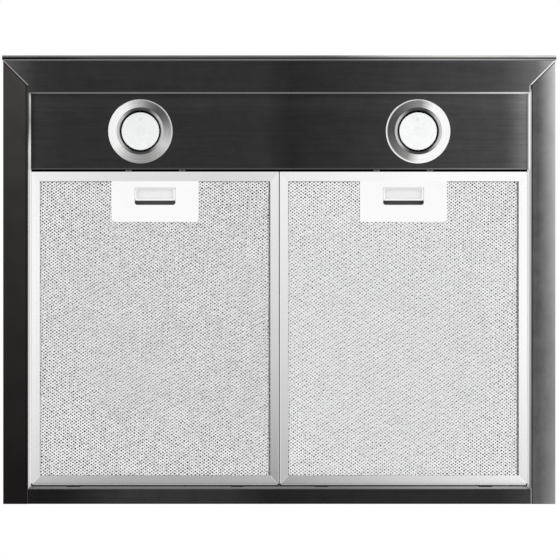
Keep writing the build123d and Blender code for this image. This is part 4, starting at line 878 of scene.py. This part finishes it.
def moulded(name, base, rough):
    """Moulded plastic with a faint grain."""
    paint = Paint(name)
    speck = paint.noise((900, 900, 900), detail=2.0)
    cloud = paint.noise((25, 25, 25), detail=2.0, seed=1)
    paint.set(base_color=paint.scaled(base, paint.add(0.97, paint.times(cloud, 0.05))), ior=1.5,
              roughness=paint.add(rough - 0.05, paint.times(speck, 0.1)))
    paint.bump(speck, PLASTIC_GRAIN * MM)
    return paint.material


def latch_plastic():
    """White finger cup with painted shade along its front wall, and painted shade on the parts that show in
    the gap, a little lighter at their edges.
    """
    paint = Paint("latch_plastic")
    speck = paint.noise((900, 900, 900), detail=2.0)
    # Painted shade along the cup's front wall
    front_wall = paint.band(paint.y, CUP_FRONT, CUP_FRONT + CUP_WALL)
    colour = paint.colour(paint.times(front_wall, 0.5), (0.90, 0.90, 0.90), (0.60, 0.60, 0.61))
    # Painted shade where the latch shows in the gap at the filter's front, lighter at the bolts' edges
    slot_shade = paint.ramp(paint.y, FILTER_FRONT + 0.5, FILTER_FRONT - 0.3)
    across = paint.math("ABSOLUTE", paint.math("SUBTRACT", paint.math("ABSOLUTE", paint.x), FILTER_MIDDLE))
    edge = paint.ramp(paint.math("ABSOLUTE", paint.math("SUBTRACT", across, BOLT_SPACING / 2)), 1.6, 2.6)
    colour = paint.colour(slot_shade, colour, paint.colour(edge, (0.05, 0.05, 0.05), (0.22, 0.22, 0.22)))
    paint.set(base_color=colour, roughness=paint.add(0.22, paint.times(speck, 0.1)), ior=1.5)
    return paint.material


bezel = bezel_metal()
lens = lens_plastic()
white = moulded("white_plastic", (0.89, 0.89, 0.89), 0.25)
latch = latch_plastic()
grey = moulded("grey_plastic", (0.72, 0.72, 0.70), 0.4)
black = moulded("black_plastic", (0.035, 0.035, 0.036), 0.4)
# Dark housing plastic, darkened further as painted shade for the slot behind the finger cup
dark = moulded("housing_plastic", (0.085, 0.085, 0.085), 0.5)


def sheet_metal(name, base, rough=0.38, spangle=0.12, black_rim=False):
    """Zinc plated or plain sheet with a faint spangle. The deck's edge is black like the panels it joins."""
    paint = Paint(name)
    cells = paint.tree.nodes.new("ShaderNodeTexVoronoi")
    cells.inputs["Scale"].default_value = 0.09
    paint.tree.links.new(paint.place, cells.inputs["Vector"])
    tone = paint.tree.nodes.new("ShaderNodeSeparateColor")
    paint.tree.links.new(cells.outputs["Color"], tone.inputs[0])
    cloud = paint.noise((12, 12, 12), detail=3.0)
    change = paint.add(0.9 - spangle / 2, paint.times(tone.outputs[0], spangle), paint.times(cloud, 0.2))
    colour = paint.scaled(base, change)
    if black_rim:
        across = paint.math("ABSOLUTE", paint.x)
        rim = paint.math("MAXIMUM", paint.ramp(across, CHIMNEY_SIDE - 0.6, CHIMNEY_SIDE - 0.3),
                         paint.ramp(paint.y, CHIMNEY_FRONT + 0.6, CHIMNEY_FRONT + 0.3))
        colour = paint.colour(rim, colour, BLACK)
    paint.set(metallic=1.0, base_color=colour,
              roughness=paint.add(rough, paint.times(tone.outputs[1], 0.08)))
    return paint.material


zinc = sheet_metal("zinc_steel", ZINC)
spring = sheet_metal("blackened_spring_steel", (0.05, 0.05, 0.05))
steel = sheet_metal("button_steel", (0.34, 0.34, 0.345), rough=0.30, spangle=0.02)
motor_paint = moulded("motor_paint", (0.16, 0.17, 0.18), 0.45)
board = moulded("circuit_board", (0.05, 0.22, 0.10), 0.35)

for word, sign in (("left", -1), ("right", 1)):
    latch_coils(word, sign, steel)
    dress(f"lamp_bezel_{word}", bezel)
    dress(f"lamp_lens_{word}", lens)
    dress(f"filter_handle_{word}", white)
    dress(f"filter_latch_{word}", latch)
    dress(f"latch_housing_{word}", dark)
    dress(f"lamp_can_{word}", zinc)
    dress(f"filter_hooks_{word}", spring)
    dress(f"blower_side_{word}", zinc)
    dress(f"damper_flap_{word}", grey)
for name in ("power", "slow", "medium", "fast", "light"):
    dress(f"button_{name}", steel)
for name in ("blower_scroll", "chimney_bracket", "control_box", "control_cover", "damper_pins",
             "duct_collar", "fixing_screws", "impeller", "impeller_blades", "motor_bracket", "motor_shaft"):
    dress(name, zinc)
dress("top_deck", sheet_metal("deck_steel", ZINC, black_rim=True))
dress("motor", motor_paint)
dress("capacitor", grey)
dress("cable_gland", black)
dress("switch_housing", black)
dress("control_board", board)
dress("led_boards", board)
dress("led_driver", grey)
